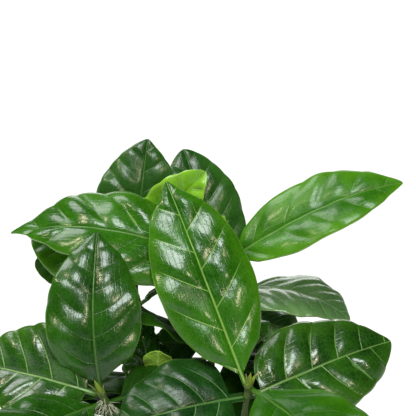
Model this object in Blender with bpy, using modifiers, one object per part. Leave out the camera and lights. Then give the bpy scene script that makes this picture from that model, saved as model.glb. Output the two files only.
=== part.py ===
"""Potted coffee plant: seven glossy-leaved coffee seedlings growing together in one plain nursery pot.

Metres, +Z up. The origin is the centre of the pot's underside and the plant's front faces -Y.
Each stem carries its leaves in opposite pairs, every pair turned a quarter from the one below.
Leaves on the front and top are set one by one; the rest follow the stems' nodes by rule and are
bent clear of their neighbours.
"""

import math
from typing import NamedTuple

import bmesh
import bpy
from mathutils import Matrix, Vector
from mathutils.bvhtree import BVHTree

# Pot and soil
POT_HEIGHT = 0.108
POT_TOP_RADIUS = 0.0565
POT_BASE_RADIUS = 0.043
POT_WALL = 0.002
POT_FLOOR = 0.0025
RIM_HEIGHT = 0.014
RIM_PROUD = 0.0030
RIM_LIP = 0.0012
POT_SIDES = 56
DRAIN_HOLES = 6
DRAIN_RING = 0.029
DRAIN_RADIUS = 0.0045
SOIL_EDGE = 0.095
SOIL_CROWN = 0.099
SOIL_SIDES = 40
SEAT_GAP = 0.0003

# Stems
STEM_SUNK = 0.026
STEM_STRAIGHT = 0.008
STEM_STEP = 0.009
STEM_BEND = 1.6
NODE_SWELL = 1.35
NODE_LENGTH = 0.0022
BUD_LENGTH = 0.007

# Leaves
PETIOLE_LENGTH = 0.006
PETIOLE_HALF = 0.0012
PETIOLE_THICK = 0.0022
SEAT_LEAN = 0.4
BLADE_THICK = 0.0007
TIP_HALF = 0.0005
TIP_SHARE = 0.14
FOOT_SHARE = 0.12
ACROSS = (-1.0, -0.55, 0.0, 0.55, 1.0)
BLADE_ROWS = (0.06, 0.16, 0.28, 0.40, 0.52, 0.64, 0.75, 0.85, 0.93, 1.0)
SMALL_ROWS = (0.08, 0.24, 0.42, 0.60, 0.77, 0.91, 1.0)
WAVE_PHASE = 0.618
LEAF_CLEAR = 0.0012

# How far a leaf that follows the rule may swing round its stem and lift, in degrees
TURNS = (0, 9, -9, 18, -18, 27, -27, 36, -36, 45, -45)
LIFTS = (0, 8, -8, 16, -16, 24, -24, 34, 44)
SHRINKS = (1.0, 0.86, 0.72, 0.58, 0.46)


class Stem(NamedTuple):
    """Where a seedling leaves the soil, where its tip ends, and its thickness at the foot and tip."""

    foot: tuple
    tip: tuple
    radius: float = 0.0022
    tip_radius: float = 0.0014


class Leaf(NamedTuple):
    """Angles in degrees, lengths in metres. Azimuth 0 is +X and -90 the front; rise is above level.

    Roll turns the upper face about the leaf's own length. Bow and sway bend the midrib towards the
    upper face and to the leaf's right, at one and two thirds of its length, as shares of the length.
    Twist turns the upper face about the midrib from the foot to the tip. Fold lifts the two halves
    off the midrib, curl turns their margins back down, and wave ruffles them. Peak is where the
    blade is widest, lean how much nearer the tip that is on its right half, full how pointed its
    outline is, foot and tip how blunt its ends are.
    """

    name: str
    stem: str
    height: float
    azimuth: float
    rise: float
    roll: float
    length: float
    width: float
    bow: tuple = (0.06, 0.08)
    sway: tuple = (0.0, 0.0)
    twist: float = 0.0
    fold: float = 0.26
    curl: float = 0.34
    wave: float = 0.0016
    waves: float = 2.6
    peak: float = 0.48
    lean: float = 0.0
    full: float = 1.5
    foot: float = 0.45
    tip: float = 0.45
    age: str = "mature"


class Pair(NamedTuple):
    """A node lower on a stem, whose two opposite leaves follow the rule."""

    stem: str
    height: float
    azimuth: float
    rise: float
    length: float
    age: str = "old"


STEMS = {
    "right": Stem(foot=(0.017, -0.018), tip=(0.025, -0.032, 0.200)),
    "left": Stem(foot=(-0.026, -0.019), tip=(-0.052, -0.031, 0.196)),
    "tall": Stem(foot=(0.003, 0.006), tip=(0.010, 0.015, 0.263), radius=0.0025),
    "rear_left": Stem(foot=(-0.022, 0.020), tip=(-0.038, 0.044, 0.244), radius=0.0024),
    "rear_right": Stem(foot=(0.016, 0.028), tip=(0.016, 0.047, 0.234), radius=0.0024),
    "middle": Stem(foot=(-0.009, -0.010), tip=(-0.022, -0.002, 0.182)),
    "side": Stem(foot=(0.034, 0.006), tip=(0.046, 0.016, 0.176)),
}

LEAVES = (
    Leaf(
        "leaf_right_upright", "right", 0.193, 131, 57, -33, 0.111, 0.048,
        bow=(0.02, 0.05), age="bright",
    ),
    Leaf(
        "leaf_right_front", "right", 0.192, -47, -22, 22, 0.096, 0.058,
        bow=(0.08, 0.07), foot=0.8, age="bright",
    ),
    Leaf(
        "leaf_right_out", "right", 0.187, 27, 12, 47, 0.083, 0.051,
        bow=(0.05, 0.10), peak=0.37, full=1.1, foot=1.0, tip=0.8,
    ),
    Leaf(
        "leaf_right_across", "right", 0.187, -167, -11, -44, 0.066, 0.054,
        bow=(0.07, 0.12), peak=0.30, full=0.9, foot=1.0, age="old",
    ),
    Leaf(
        "leaf_left_upright", "left", 0.188, 96, 67, -6, 0.081, 0.046,
        bow=(0.15, 0.10), sway=(-0.06, -0.03), peak=0.41, full=1.2, foot=0.35,
    ),
    Leaf("leaf_left_front", "left", 0.184, -138, -9, -28, 0.076, 0.040),
    Leaf(
        "leaf_left_out", "left", 0.188, 157, 6, -56, 0.068, 0.050,
        bow=(0.12, 0.14), fold=0.44, curl=0.28, peak=0.36, lean=0.06, full=1.3, foot=0.7,
    ),
    Leaf("leaf_left_in", "left", 0.184, 16, 10, 44, 0.036, 0.028, age="old"),
    Leaf(
        "leaf_tall_left", "tall", 0.245, 170, 6, -45, 0.107, 0.048,
        bow=(0.20, 0.22), twist=24, peak=0.39, lean=0.11, full=1.5, foot=0.2, age="bright",
    ),
    Leaf(
        "leaf_tall_right", "tall", 0.244, 4, 24, 40, 0.101, 0.037,
        bow=(0.09, 0.15), fold=0.36, curl=0.28, wave=0.0008, lean=-0.02, full=1.55,
        tip=0.7, age="bright",
    ),
    Leaf(
        "leaf_tall_bud", "tall", 0.256, -110, 86, 0, 0.014, 0.007,
        fold=0.7, curl=0.0, age="young",
    ),
    Leaf(
        "leaf_rear_left_upright", "rear_left", 0.236, 64, 75, 24, 0.067, 0.046,
        peak=0.39, lean=-0.04, full=1.35, foot=0.1, tip=0.9,
    ),
    Leaf(
        "leaf_rear_left_young", "rear_left", 0.236, -16, 54, 80, 0.065, 0.028,
        sway=(-0.04, -0.03), fold=0.4, curl=0.1, peak=0.46, full=1.3, foot=0.1, tip=1.0, age="young",
    ),
    Leaf(
        "leaf_rear_left_out", "rear_left", 0.232, 180, 21, -46, 0.054, 0.033,
        full=1.2, tip=0.8, age="bright",
    ),
    Leaf(
        "leaf_rear_left_low", "rear_left", 0.226, 170, 12, -44, 0.0525, 0.025,
        peak=0.52, lean=0.06, full=1.05, tip=1.0, age="old",
    ),
    Leaf(
        "leaf_rear_right_upright", "rear_right", 0.225, 135, 64, -29, 0.076, 0.040,
        full=1.3, tip=0.9,
    ),
    Leaf(
        "leaf_rear_right_out", "rear_right", 0.222, -14, -11, 12, 0.063, 0.044,
        bow=(0.16, 0.21), wave=0.0008, lean=-0.10, full=1.3, age="bright",
    ),
    Leaf("leaf_rear_right_low", "rear_right", 0.212, -30, -14, 26, 0.040, 0.026, age="bright"),
    Leaf(
        "leaf_tall_low", "tall", 0.201, 142, -7, -62, 0.043, 0.021,
        bow=(0.02, 0.02), peak=0.30, full=1.6, age="old",
    ),
    Leaf(
        "leaf_middle_upright", "middle", 0.174, 146, 73, -8, 0.047, 0.029,
        bow=(0.02, 0.05), wave=0.0024, peak=0.38, full=1.4, foot=0.2, tip=0.9,
    ),
    Leaf(
        "leaf_middle_curled", "middle", 0.178, -92, 77, 0, 0.028, 0.014,
        fold=0.2, curl=0.2, peak=0.64, lean=0.08, full=1.3, age="young",
    ),
)

LOWER_PAIRS = (
    Pair("right", 0.160, 120, -6, 0.086),
    Pair("right", 0.134, 28, -14, 0.070),
    Pair("left", 0.171, 97, 3, 0.078),
    Pair("left", 0.134, 190, -14, 0.068),
    Pair("tall", 0.224, 110, -10, 0.060, "mature"),
    Pair("tall", 0.198, 160, -14, 0.062),
    Pair("rear_left", 0.218, 130, 0, 0.062, "mature"),
    Pair("rear_left", 0.182, 100, -8, 0.080),
    Pair("rear_left", 0.156, 186, -9, 0.068),
    Pair("rear_right", 0.214, 96, 0, 0.066, "mature"),
    Pair("rear_right", 0.190, -15, -24, 0.060),
    Pair("rear_right", 0.158, 0, -10, 0.070),
    Pair("middle", 0.150, 250, 4, 0.060),
    Pair("side", 0.168, 75, 10, 0.072, "mature"),
    Pair("side", 0.150, -12, -6, 0.078),
)

COLOURS = {
    "young": ((0.25, 0.52, 0.05, 1.0), 0.30),
    "bright": ((0.09, 0.30, 0.035, 1.0), 0.28),
    "mature": ((0.035, 0.16, 0.025, 1.0), 0.26),
    "old": ((0.018, 0.085, 0.022, 1.0), 0.30),
    "stem": ((0.11, 0.17, 0.05, 1.0), 0.60),
    "soil": ((0.035, 0.022, 0.014, 1.0), 0.95),
    "pot": ((0.42, 0.16, 0.085, 1.0), 0.62),
}


def clear_scene():
    for obj in list(bpy.data.objects):
        bpy.data.objects.remove(obj, do_unlink=True)


def collection_named(name):
    group = bpy.data.collections.new(name)
    bpy.context.scene.collection.children.link(group)
    return group


def material_named(kind):
    """One Principled material for each kind of surface, made when it is first asked for."""
    name = f"coffee_{kind}"
    found = bpy.data.materials.get(name)
    if found:
        return found
    colour, roughness = COLOURS[kind]
    made = bpy.data.materials.new(name)
    made.use_nodes = True
    shader = made.node_tree.nodes["Principled BSDF"]
    shader.inputs["Base Color"].default_value = colour
    shader.inputs["Roughness"].default_value = roughness
    shader.inputs["Metallic"].default_value = 0.0
    return made


def new_object(name, data, kind, group):
    obj = bpy.data.objects.new(name, data)
    obj.data.materials.append(material_named(kind))
    group.objects.link(obj)
    return obj


def turned_solid(name, profile, sides, kind, group):
    """A profile of (radius, height) points that starts and ends on the axis, turned round Z."""
    mesh = bpy.data.meshes.new(name)
    shape = bmesh.new()
    verts = [shape.verts.new((radius, 0.0, height)) for radius, height in profile]
    for first, second in zip(verts, verts[1:]):
        shape.edges.new((first, second))
    shape.to_mesh(mesh)
    shape.free()
    obj = new_object(name, mesh, kind, group)
    turn = obj.modifiers.new("turn", "SCREW")
    turn.steps = sides
    turn.render_steps = sides
    turn.use_merge_vertices = True
    turn.merge_threshold = 0.00005
    turn.use_smooth_shade = True
    return obj


def upright_cutter(name, x, y, low, high, radius, sides, group):
    mesh = bpy.data.meshes.new(name)
    shape = bmesh.new()
    bmesh.ops.create_cone(
        shape,
        cap_ends=True,
        segments=sides,
        radius1=radius,
        radius2=radius,
        depth=high - low,
        matrix=Matrix.Translation((0.0, 0.0, (high + low) / 2)),
    )
    shape.to_mesh(mesh)
    shape.free()
    obj = bpy.data.objects.new(name, mesh)
    obj.location = (x, y, 0.0)
    obj.hide_render = True
    obj.display_type = "WIRE"
    group.objects.link(obj)
    return obj


def cut(obj, cutters):
    for cutter in cutters:
        hole = obj.modifiers.new(cutter.name, "BOOLEAN")
        hole.operation = "DIFFERENCE"
        hole.object = cutter


def pot_radius(height):
    """The outer wall's radius, below the rim's band."""
    return POT_BASE_RADIUS + (POT_TOP_RADIUS - POT_BASE_RADIUS) * height / POT_HEIGHT


def make_pot(group, cutters):
    """A thin tapered pot with a band round its rim and drain holes in a ring round the flat centre."""
    band = POT_HEIGHT - RIM_HEIGHT
    top = pot_radius(POT_HEIGHT)
    profile = (
        (0.0, POT_FLOOR),
        (pot_radius(POT_FLOOR) - POT_WALL, POT_FLOOR),
        (pot_radius(band) - POT_WALL, band),
        (top + RIM_PROUD - POT_WALL - RIM_LIP, POT_HEIGHT - RIM_LIP),
        (top + RIM_PROUD - POT_WALL, POT_HEIGHT),
        (top + RIM_PROUD + RIM_LIP, POT_HEIGHT),
        (top + RIM_PROUD + RIM_LIP, POT_HEIGHT - 2 * RIM_LIP),
        (top + RIM_PROUD, POT_HEIGHT - 2.5 * RIM_LIP),
        (pot_radius(band) + RIM_PROUD, band),
        (pot_radius(band), band - RIM_LIP),
        (pot_radius(RIM_LIP), RIM_LIP),
        (pot_radius(0.0) - RIM_LIP, 0.0),
        (0.0, 0.0),
    )
    pot = turned_solid("pot", profile, POT_SIDES, "pot", group)
    holes = []
    for index in range(DRAIN_HOLES):
        turn = math.tau * (index + 0.5) / DRAIN_HOLES
        x, y = DRAIN_RING * math.cos(turn), DRAIN_RING * math.sin(turn)
        name = f"drain_cutter_{index + 1}"
        cutter = upright_cutter(name, x, y, -POT_FLOOR, 3 * POT_FLOOR, DRAIN_RADIUS, 16, cutters)
        holes.append(cutter)
    cut(pot, holes)
    return pot


def make_soil(group, cutters):
    """The potting soil, filling the pot to just under its rim, with a plain hole for each stem."""
    bottom = POT_FLOOR + SEAT_GAP
    side_gap = POT_WALL + SEAT_GAP
    profile = (
        (0.0, SOIL_CROWN),
        (0.022, SOIL_CROWN - 0.0005),
        (0.042, SOIL_CROWN - 0.002),
        (pot_radius(SOIL_EDGE) - side_gap, SOIL_EDGE),
        (pot_radius(SOIL_EDGE - 0.004) - side_gap, SOIL_EDGE - 0.004),
        (pot_radius(bottom) - side_gap, bottom),
        (0.0, bottom),
    )
    soil = turned_solid("soil", profile, SOIL_SIDES, "soil", group)
    holes = []
    for name, stem in STEMS.items():
        x, y = stem.foot
        radius = stem.radius + 2 * SEAT_GAP
        low = SOIL_CROWN - STEM_SUNK
        high = SOIL_CROWN + 0.01
        cutter = upright_cutter(f"stem_cutter_{name}", x, y, low, high, radius, 12, cutters)
        holes.append(cutter)
    cut(soil, holes)
    return soil


def stem_axis(stem, height):
    """The stem's centre at a height: upright at the soil, leaning further the higher it is."""
    start = SOIL_CROWN + STEM_STRAIGHT
    share = max(0.0, (height - start) / (stem.tip[2] - start)) ** STEM_BEND
    x = stem.foot[0] + (stem.tip[0] - stem.foot[0]) * share
    y = stem.foot[1] + (stem.tip[1] - stem.foot[1]) * share
    return Vector((x, y, height))


def stem_radius(stem, height):
    share = (height - SOIL_CROWN) / (stem.tip[2] - SOIL_CROWN)
    return stem.radius + (stem.tip_radius - stem.radius) * min(1.0, max(0.0, share))


def node_heights(name):
    """Heights of the nodes of one stem, where leaves grow."""
    heights = {leaf.height for leaf in LEAVES if leaf.stem == name}
    heights |= {pair.height for pair in LOWER_PAIRS if pair.stem == name}
    return sorted(heights)


def stem_stations(name):
    """(height, radius) along one stem: plain steps, a swelling at each node and a pointed end bud."""
    stem = STEMS[name]
    nodes = node_heights(name)
    low = SOIL_CROWN - STEM_SUNK + SEAT_GAP
    bud = stem.tip[2] - BUD_LENGTH
    stations = {low: stem.radius, bud: stem.tip_radius}
    steps = int((bud - SOIL_CROWN) / STEM_STEP)
    for step in range(steps):
        height = SOIL_CROWN + step * STEM_STEP
        if all(abs(height - node) > 2 * NODE_LENGTH for node in nodes):
            stations[height] = stem_radius(stem, height)
    for node in nodes:
        swollen = stem_radius(stem, node) * NODE_SWELL
        stations[node] = swollen
        for edge in (node - NODE_LENGTH, node + NODE_LENGTH):
            if all(abs(edge - other) > 1.5 * NODE_LENGTH for other in nodes if other != node):
                stations[edge] = stem_radius(stem, edge)
    stations[bud + 0.4 * BUD_LENGTH] = stem.tip_radius * 1.1
    stations[stem.tip[2]] = stem.tip_radius * 0.25
    return sorted(stations.items())


def make_stem(name, group):
    stem = STEMS[name]
    curve = bpy.data.curves.new(f"stem_{name}", "CURVE")
    curve.dimensions = "3D"
    curve.bevel_depth = stem.radius
    curve.bevel_resolution = 1
    curve.use_fill_caps = True
    spline = curve.splines.new("POLY")
    stations = stem_stations(name)
    spline.points.add(len(stations) - 1)
    for point, (height, radius) in zip(spline.points, stations):
        point.co = (*stem_axis(stem, height), 1.0)
        point.radius = radius / stem.radius
    return new_object(f"stem_{name}", curve, "stem", group)


def blade_profile(leaf, share, across):
    """Half width of the blade at a share of its length, against half its greatest width."""
    if share <= 0.0 or share >= 1.0:
        return 0.0
    peak = leaf.peak + (leaf.lean if across > 0 else -leaf.lean)
    before = (share / peak) ** (leaf.full * peak)
    after = ((1.0 - share) / (1.0 - peak)) ** (leaf.full * (1.0 - peak))
    drip = min(1.0, leaf.tip + (1.0 - leaf.tip) * (1.0 - share) / TIP_SHARE)
    foot = min(1.0, leaf.foot + (1.0 - leaf.foot) * share / FOOT_SHARE)
    return before * after * drip * foot


def leaf_axes(leaf):
    """Unit vectors along the leaf, off its upper face, and to its right."""
    azimuth, rise = math.radians(leaf.azimuth), math.radians(leaf.rise)
    along = Vector(
        (math.cos(rise) * math.cos(azimuth), math.cos(rise) * math.sin(azimuth), math.sin(rise))
    )
    face = Vector(
        (-math.sin(rise) * math.cos(azimuth), -math.sin(rise) * math.sin(azimuth), math.cos(rise))
    )
    face = Matrix.Rotation(math.radians(leaf.roll), 3, along) @ face
    return along, face, along.cross(face)


def leaf_seat(leaf):
    """Where the petiole meets the stem's node, further out if a corner of it leans in."""
    stem = STEMS[leaf.stem]
    turn = math.radians(leaf.azimuth)
    outward = Vector((math.cos(turn), math.sin(turn), 0.0))
    _, face, right = leaf_axes(leaf)
    lean = PETIOLE_HALF * abs(right.dot(outward)) + PETIOLE_THICK * max(0.0, face.dot(outward))
    reach = stem_radius(stem, leaf.height) * NODE_SWELL + SEAT_GAP + SEAT_LEAN * lean
    return stem_axis(stem, leaf.height) + reach * outward


def bezier(ends, share):
    """Point and direction on a cubic curve."""
    a, b, c, d = ends
    rest = 1.0 - share
    point = a * rest**3 + b * (3 * share * rest**2) + c * (3 * share**2 * rest) + d * share**3
    slope = (b - a) * (3 * rest**2) + (c - b) * (6 * share * rest) + (d - c) * (3 * share**2)
    return point, slope.normalized()


def leaf_frame(leaf, share):
    """The midrib's point, its direction, the face's normal and the leaf's right, at a share of the length."""
    along, face, right = leaf_axes(leaf)
    seat = leaf_seat(leaf)
    ends = [seat]
    for step, (bow, sway) in enumerate(zip(leaf.bow, leaf.sway), 1):
        ends.append(seat + leaf.length * (along * step / 3 + face * bow + right * sway))
    ends.append(seat + leaf.length * along)
    point, direction = bezier(ends, share)
    turned = Matrix.Rotation(math.radians(leaf.twist) * (share - 0.5), 3, along) @ face
    normal = (turned - direction * turned.dot(direction)).normalized()
    return point, direction, normal, direction.cross(normal)


def leaf_point(leaf, index, share, across):
    """A point on the upper face and the normal there. Across runs from -1 at the left margin to 1."""
    petiole = PETIOLE_LENGTH / leaf.length
    blade = max(0.0, (share - petiole) / (1.0 - petiole))
    point, _, normal, right = leaf_frame(leaf, share)
    ends = PETIOLE_HALF * (1.0 - blade) + TIP_HALF * blade
    half = 0.5 * leaf.width * blade_profile(leaf, blade, across) + ends
    side = 0.0 if across < 0 else 0.37
    phase = math.tau * (leaf.waves * blade + side + WAVE_PHASE * index)
    wave = leaf.wave * math.sin(math.pi * blade) * math.sin(phase) * across**2
    spread = min(1.0, blade / 0.1)
    lift = spread * half * (leaf.fold * abs(across) - leaf.curl * across**2)
    return point + right * (half * across) + normal * (lift + wave), normal


def leaf_rows(leaf, rows):
    """Shares of the leaf's whole length at which its rows lie, the petiole's first."""
    petiole = PETIOLE_LENGTH / leaf.length
    return [0.0, 0.55 * petiole, petiole] + [petiole + (1.0 - petiole) * row for row in rows]


def leaf_sheet(leaf, index, rows):
    """The grid of points of the upper face, row by row, with their normals."""
    shares = leaf_rows(leaf, rows)
    grid = [leaf_point(leaf, index, share, across) for share in shares for across in ACROSS]
    return [point for point, _ in grid], [normal for _, normal in grid]


def sheet_triangles(count):
    """Triangles of a grid of so many points, as every leaf's grid is split."""
    width = len(ACROSS)
    triangles = []
    for row in range(count // width - 1):
        for column in range(width - 1):
            a = row * width + column
            b, c, d = a + 1, a + width + 1, a + width
            if column < width // 2:
                triangles += [(a, b, c), (a, c, d)]
            else:
                triangles += [(a, b, d), (b, c, d)]
    return triangles


def slab_tree(sheet, room):
    """A leaf's two faces, each with room beyond it, for testing what the leaf would touch."""
    points, normals = sheet
    above = [point + normal * room for point, normal in zip(points, normals)]
    below = [point - normal * (room + PETIOLE_THICK) for point, normal in zip(points, normals)]
    first = sheet_triangles(len(points))
    second = [tuple(len(points) + corner for corner in triangle) for triangle in first]
    return BVHTree.FromPolygons(above + below, first + second)


def tree_of(obj):
    """A search tree of an object's mesh, as its modifiers leave it."""
    graph = bpy.context.evaluated_depsgraph_get()
    mesh = bpy.data.meshes.new_from_object(obj.evaluated_get(graph))
    points = [obj.matrix_world @ vertex.co for vertex in mesh.vertices]
    tree = BVHTree.FromPolygons(points, [tuple(polygon.vertices) for polygon in mesh.polygons])
    bpy.data.meshes.remove(mesh)
    return tree


def ruled_leaves():
    """The leaves that follow the stems' nodes, two opposite ones at each."""
    for pair in LOWER_PAIRS:
        for side in (0, 180):
            name = f"leaf_{pair.stem}_{round(pair.height * 1000)}_{'a' if side == 0 else 'b'}"
            yield Leaf(
                name,
                pair.stem,
                pair.height,
                pair.azimuth + side,
                pair.rise,
                0.0,
                pair.length,
                0.46 * pair.length,
                bow=(0.07, 0.09),
                age=pair.age,
            )


def tries(leaf):
    """The same leaf as drawn, then swung, lifted and shortened further and further."""
    moves = [(abs(turn) + abs(lift), turn, lift) for turn in TURNS for lift in LIFTS]
    for shrink in SHRINKS:
        for _, turn, lift in sorted(moves):
            yield leaf._replace(
                azimuth=leaf.azimuth + turn,
                rise=leaf.rise + lift,
                length=leaf.length * shrink,
                width=leaf.width * shrink,
            )


def bent_clear(leaf, index, placed, own):
    """The first try that touches nothing already there, its own stem's seat left out."""
    others = [tree for name, tree in placed.items() if name != own]
    for attempt in tries(leaf):
        wider = attempt._replace(width=attempt.width + 2 * LEAF_CLEAR)
        tree = slab_tree(leaf_sheet(wider, index, SMALL_ROWS), LEAF_CLEAR)
        if not any(tree.overlap(other) for other in others):
            return attempt
    return None


def make_leaf(leaf, index, rows, group):
    """The blade and petiole as one thin waved sheet, thicker along the midrib and the petiole."""
    width = len(ACROSS)
    mesh = bpy.data.meshes.new(leaf.name)
    shape = bmesh.new()
    shares = leaf_rows(leaf, rows)
    bmesh.ops.create_grid(shape, x_segments=width - 1, y_segments=len(shares) - 1, size=1.0)
    shape.verts.ensure_lookup_table()
    points, _ = leaf_sheet(leaf, index, rows)
    for vert, point in zip(shape.verts, points):
        vert.co = point
    flats = list(shape.faces)
    for face in flats:
        left = max(vert.index % width for vert in face.verts) <= width // 2
        low = min(vert.index for vert in face.verts)
        ends = (low, low + width + 1) if left else (low + 1, low + width)
        bmesh.utils.face_split(face, shape.verts[ends[0]], shape.verts[ends[1]])
    shape.to_mesh(mesh)
    shape.free()
    obj = new_object(leaf.name, mesh, leaf.age, group)
    thick = obj.vertex_groups.new(name="thickness")
    petiole = PETIOLE_LENGTH / leaf.length
    thin = BLADE_THICK / PETIOLE_THICK
    for row, share in enumerate(shares):
        blade = max(0.0, (share - petiole) / (1.0 - petiole))
        rib = 1.0 if blade == 0.0 else 0.75 - 0.35 * blade
        for column, across in enumerate(ACROSS):
            weight = rib if across == 0.0 or blade == 0.0 else thin
            thick.add([row * width + column], weight, "REPLACE")
    solid = obj.modifiers.new("thickness", "SOLIDIFY")
    solid.thickness = PETIOLE_THICK
    solid.offset = -1.0
    solid.vertex_group = thick.name
    mesh.shade_smooth()
    return obj


def main():
    clear_scene()
    group = collection_named("potted_coffee_plant")
    cutters = collection_named("cutters")
    placed = {
        "pot": tree_of(make_pot(group, cutters)),
        "soil": tree_of(make_soil(group, cutters)),
    }
    for name in STEMS:
        placed[f"stem_{name}"] = tree_of(make_stem(name, group))
    for index, leaf in enumerate(LEAVES):
        make_leaf(leaf, index, BLADE_ROWS, group)
        placed[leaf.name] = slab_tree(leaf_sheet(leaf, index, BLADE_ROWS), 0.0)
    for index, leaf in enumerate(ruled_leaves(), len(LEAVES)):
        clear = bent_clear(leaf, index, placed, f"stem_{leaf.stem}")
        if clear is None:
            print(f"no room for {leaf.name}")
            continue
        make_leaf(clear, index, SMALL_ROWS, group)
        placed[clear.name] = slab_tree(leaf_sheet(clear, index, SMALL_ROWS), 0.0)


main()
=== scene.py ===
"""Potted coffee plant: seven glossy-leaved coffee seedlings in one plain nursery pot.

Metres, +Z up. The origin is the centre of the pot's underside and the plant's front faces -Y.
The leaves and stems are drawn from the same sizes as the part's plain solids, with far more points:
sunken veins, puffed cells between them, scales at the nodes, crumbs on the soil.
"""

import math
import random
from typing import NamedTuple

import bpy
import numpy as np
from bpy.props import FloatProperty, FloatVectorProperty, IntProperty, PointerProperty
from mathutils import Matrix, Vector, noise


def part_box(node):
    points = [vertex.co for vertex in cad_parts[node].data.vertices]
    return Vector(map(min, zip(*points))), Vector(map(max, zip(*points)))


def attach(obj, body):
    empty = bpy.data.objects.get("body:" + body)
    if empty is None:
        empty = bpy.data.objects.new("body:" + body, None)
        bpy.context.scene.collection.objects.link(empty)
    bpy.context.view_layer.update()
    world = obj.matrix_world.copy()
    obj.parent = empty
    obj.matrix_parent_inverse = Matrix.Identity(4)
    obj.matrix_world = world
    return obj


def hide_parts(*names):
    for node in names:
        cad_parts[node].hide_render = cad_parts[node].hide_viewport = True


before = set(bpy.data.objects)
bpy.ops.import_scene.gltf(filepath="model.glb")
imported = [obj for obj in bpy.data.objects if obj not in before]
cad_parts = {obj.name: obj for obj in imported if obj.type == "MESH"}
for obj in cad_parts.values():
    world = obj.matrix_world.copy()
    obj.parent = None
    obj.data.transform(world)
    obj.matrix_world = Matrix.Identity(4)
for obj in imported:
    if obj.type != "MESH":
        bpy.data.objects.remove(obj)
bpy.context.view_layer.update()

bl_info = {
    "name": "Potted coffee plant",
    "version": (1, 0, 0),
    "blender": (4, 5, 0),
    "location": "3D View > Sidebar > Coffee plant",
    "description": "Dresses a potted coffee plant with veined leaves, bark, soil and its pot",
    "category": "Add Mesh",
}

MILLIMETRE = 0.001

# Pot and soil, as in the plain solids
POT_HEIGHT = 0.108
POT_TOP_RADIUS = 0.0565
POT_BASE_RADIUS = 0.043
POT_WALL = 0.002
POT_FLOOR = 0.0025
RIM_HEIGHT = 0.014
RIM_PROUD = 0.0030
RIM_LIP = 0.0012
DRAIN_HOLES = 6
DRAIN_RING = 0.029
DRAIN_RADIUS = 0.0045
SOIL_EDGE = 0.095
SOIL_CROWN = 0.099

# Stems
STEM_STRAIGHT = 0.008
STEM_BEND = 1.6
NODE_SWELL = 1.35
BUD_LENGTH = 0.007
SEAT_GAP = 0.0003

# Leaves
PETIOLE_LENGTH = 0.006
PETIOLE_HALF = 0.0012
PETIOLE_THICK = 0.0022
SEAT_LEAN = 0.4
BLADE_THICK = 0.0007
TIP_HALF = 0.0005
TIP_SHARE = 0.14
FOOT_SHARE = 0.12
WAVE_PHASE = 0.618
PLAIN_ACROSS = (-1.0, -0.55, 0.0, 0.55, 1.0)
PLAIN_ROWS = (0.08, 0.24, 0.42, 0.60, 0.77, 0.91, 1.0)

# Half widths of the midrib below and of its furrow above, and what both lose by the tip
RIB_HALF = 0.0013
FURROW_HALF = 0.0011
RIB_NARROWING = 0.0006

# Thickness of a drawn leaf: its blade, its midrib at the foot and what that loses by the tip, and
# its petiole's flat and round parts
BLADE_DRAWN = 0.0005
RIB_DRAWN = 0.0011
RIB_LOSS = 0.0009
STALK_FLAT = 0.0007
STALK_ROUND = 0.0013

# Rows and columns of a drawn leaf, and how deep its petiole starts inside the node
STALK_ROWS = 7
LEAST_ROWS = 14
COLUMN_CROWDING = 1.35
PETIOLE_SUNK = 0.0012

# Swelling between veins: the leaf length that the puff is given for, how flat-topped and how
# unlike each other the cells are, and the level of one that stays where the plain face is
PUFF_LENGTH = 0.1
PILLOW_FLATNESS = 1.5
PILLOW_VARIETY = 0.4
PILLOW_LEVEL = 0.6
SINE_MEAN = 0.64

# Drawn stems: rings, swollen nodes with the scars under them, rough bark and the end bud
STEM_SIDES = 22
STEM_RING_STEP = 0.0009
STEM_SUNK = 0.012
NODE_HALF = 0.0019
NODE_PROUD = 0.34
SCAR_DROP = 0.0016
SCAR_HALF = 0.0004
SCAR_DEPTH = 0.05
WOODY_BELOW = 0.21
WOODY_FADE = 0.06
BUD_RINGS = 12
BUD_BULGE = 0.35
THINNEST = 0.0001

# Bud scales and bristles; leaves at heights closer than TOP_PAIRS share one pair of scales
TOP_PAIRS = 0.008
SCALE_ROWS = 9
SCALE_COLUMNS = 7
SCALE_THICK = 0.00022
SCALE_OUT = 1.18
SCALE_SUNK = 0.0004
BRISTLE_TOP = 0.1865
BRISTLE_SPREAD = 0.007
BRISTLE_RADIUS = 0.00014
BRISTLE_RINGS = 7
BRISTLE_SIDES = 6

# Drawn pot and soil; each moulding ring is a height and how deep it is
POT_SIDES = 128
EDGE_EASE = 0.0006
MOULD_RINGS = ((0.080, 0.0), (0.0785, 0.00025), (0.0235, 0.00025), (0.022, 0.0))
HOLE_SIDES = 40
SCUFFED_BELOW_RIM = 0.018
SOIL_SIDES = 180
SOIL_RINGS = 60
CROWN_FLATNESS = 2.4
LUMPS_PER_METRE = 130.0
LUMP_HEIGHT = 0.0011
LUMP_SUNK = 0.0006
CRUMB_SIDES = 7
CRUMB_WALL_GAP = 0.002

# Stage
FLOOR_SIDES = 96
FLOOR_RINGS = 24
FLOOR_GAP = 0.0002
SUN_DISTANCE = 2.0
SENSOR_WIDTH = 36.0
FARTHEST_SEEN = 50.0
CAMERA_AIM = (0.004, 0.0, 0.276)
WHITE = (1.0, 1.0, 1.0)
COOL_WHITE = (0.93, 1.0, 0.98)
WARM_WHITE = (1.0, 0.86, 0.62)

# A leaf that follows the rule: its width against its length, how far it may have swung round its
# stem and lifted, in degrees, and how much shorter it may be
PAIR_SLIMNESS = 0.46
TURNS = (0, 9, -9, 18, -18, 27, -27, 36, -36, 45, -45)
LIFTS = (0, 8, -8, 16, -16, 24, -24, 34, 44)
SHRINKS = (1.0, 0.86, 0.72, 0.58, 0.46)


class Stem(NamedTuple):
    """Where a seedling leaves the soil, where its tip ends, and its radius at the foot and tip."""

    foot: tuple
    tip: tuple
    radius: float = 0.0022
    tip_radius: float = 0.0014


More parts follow.
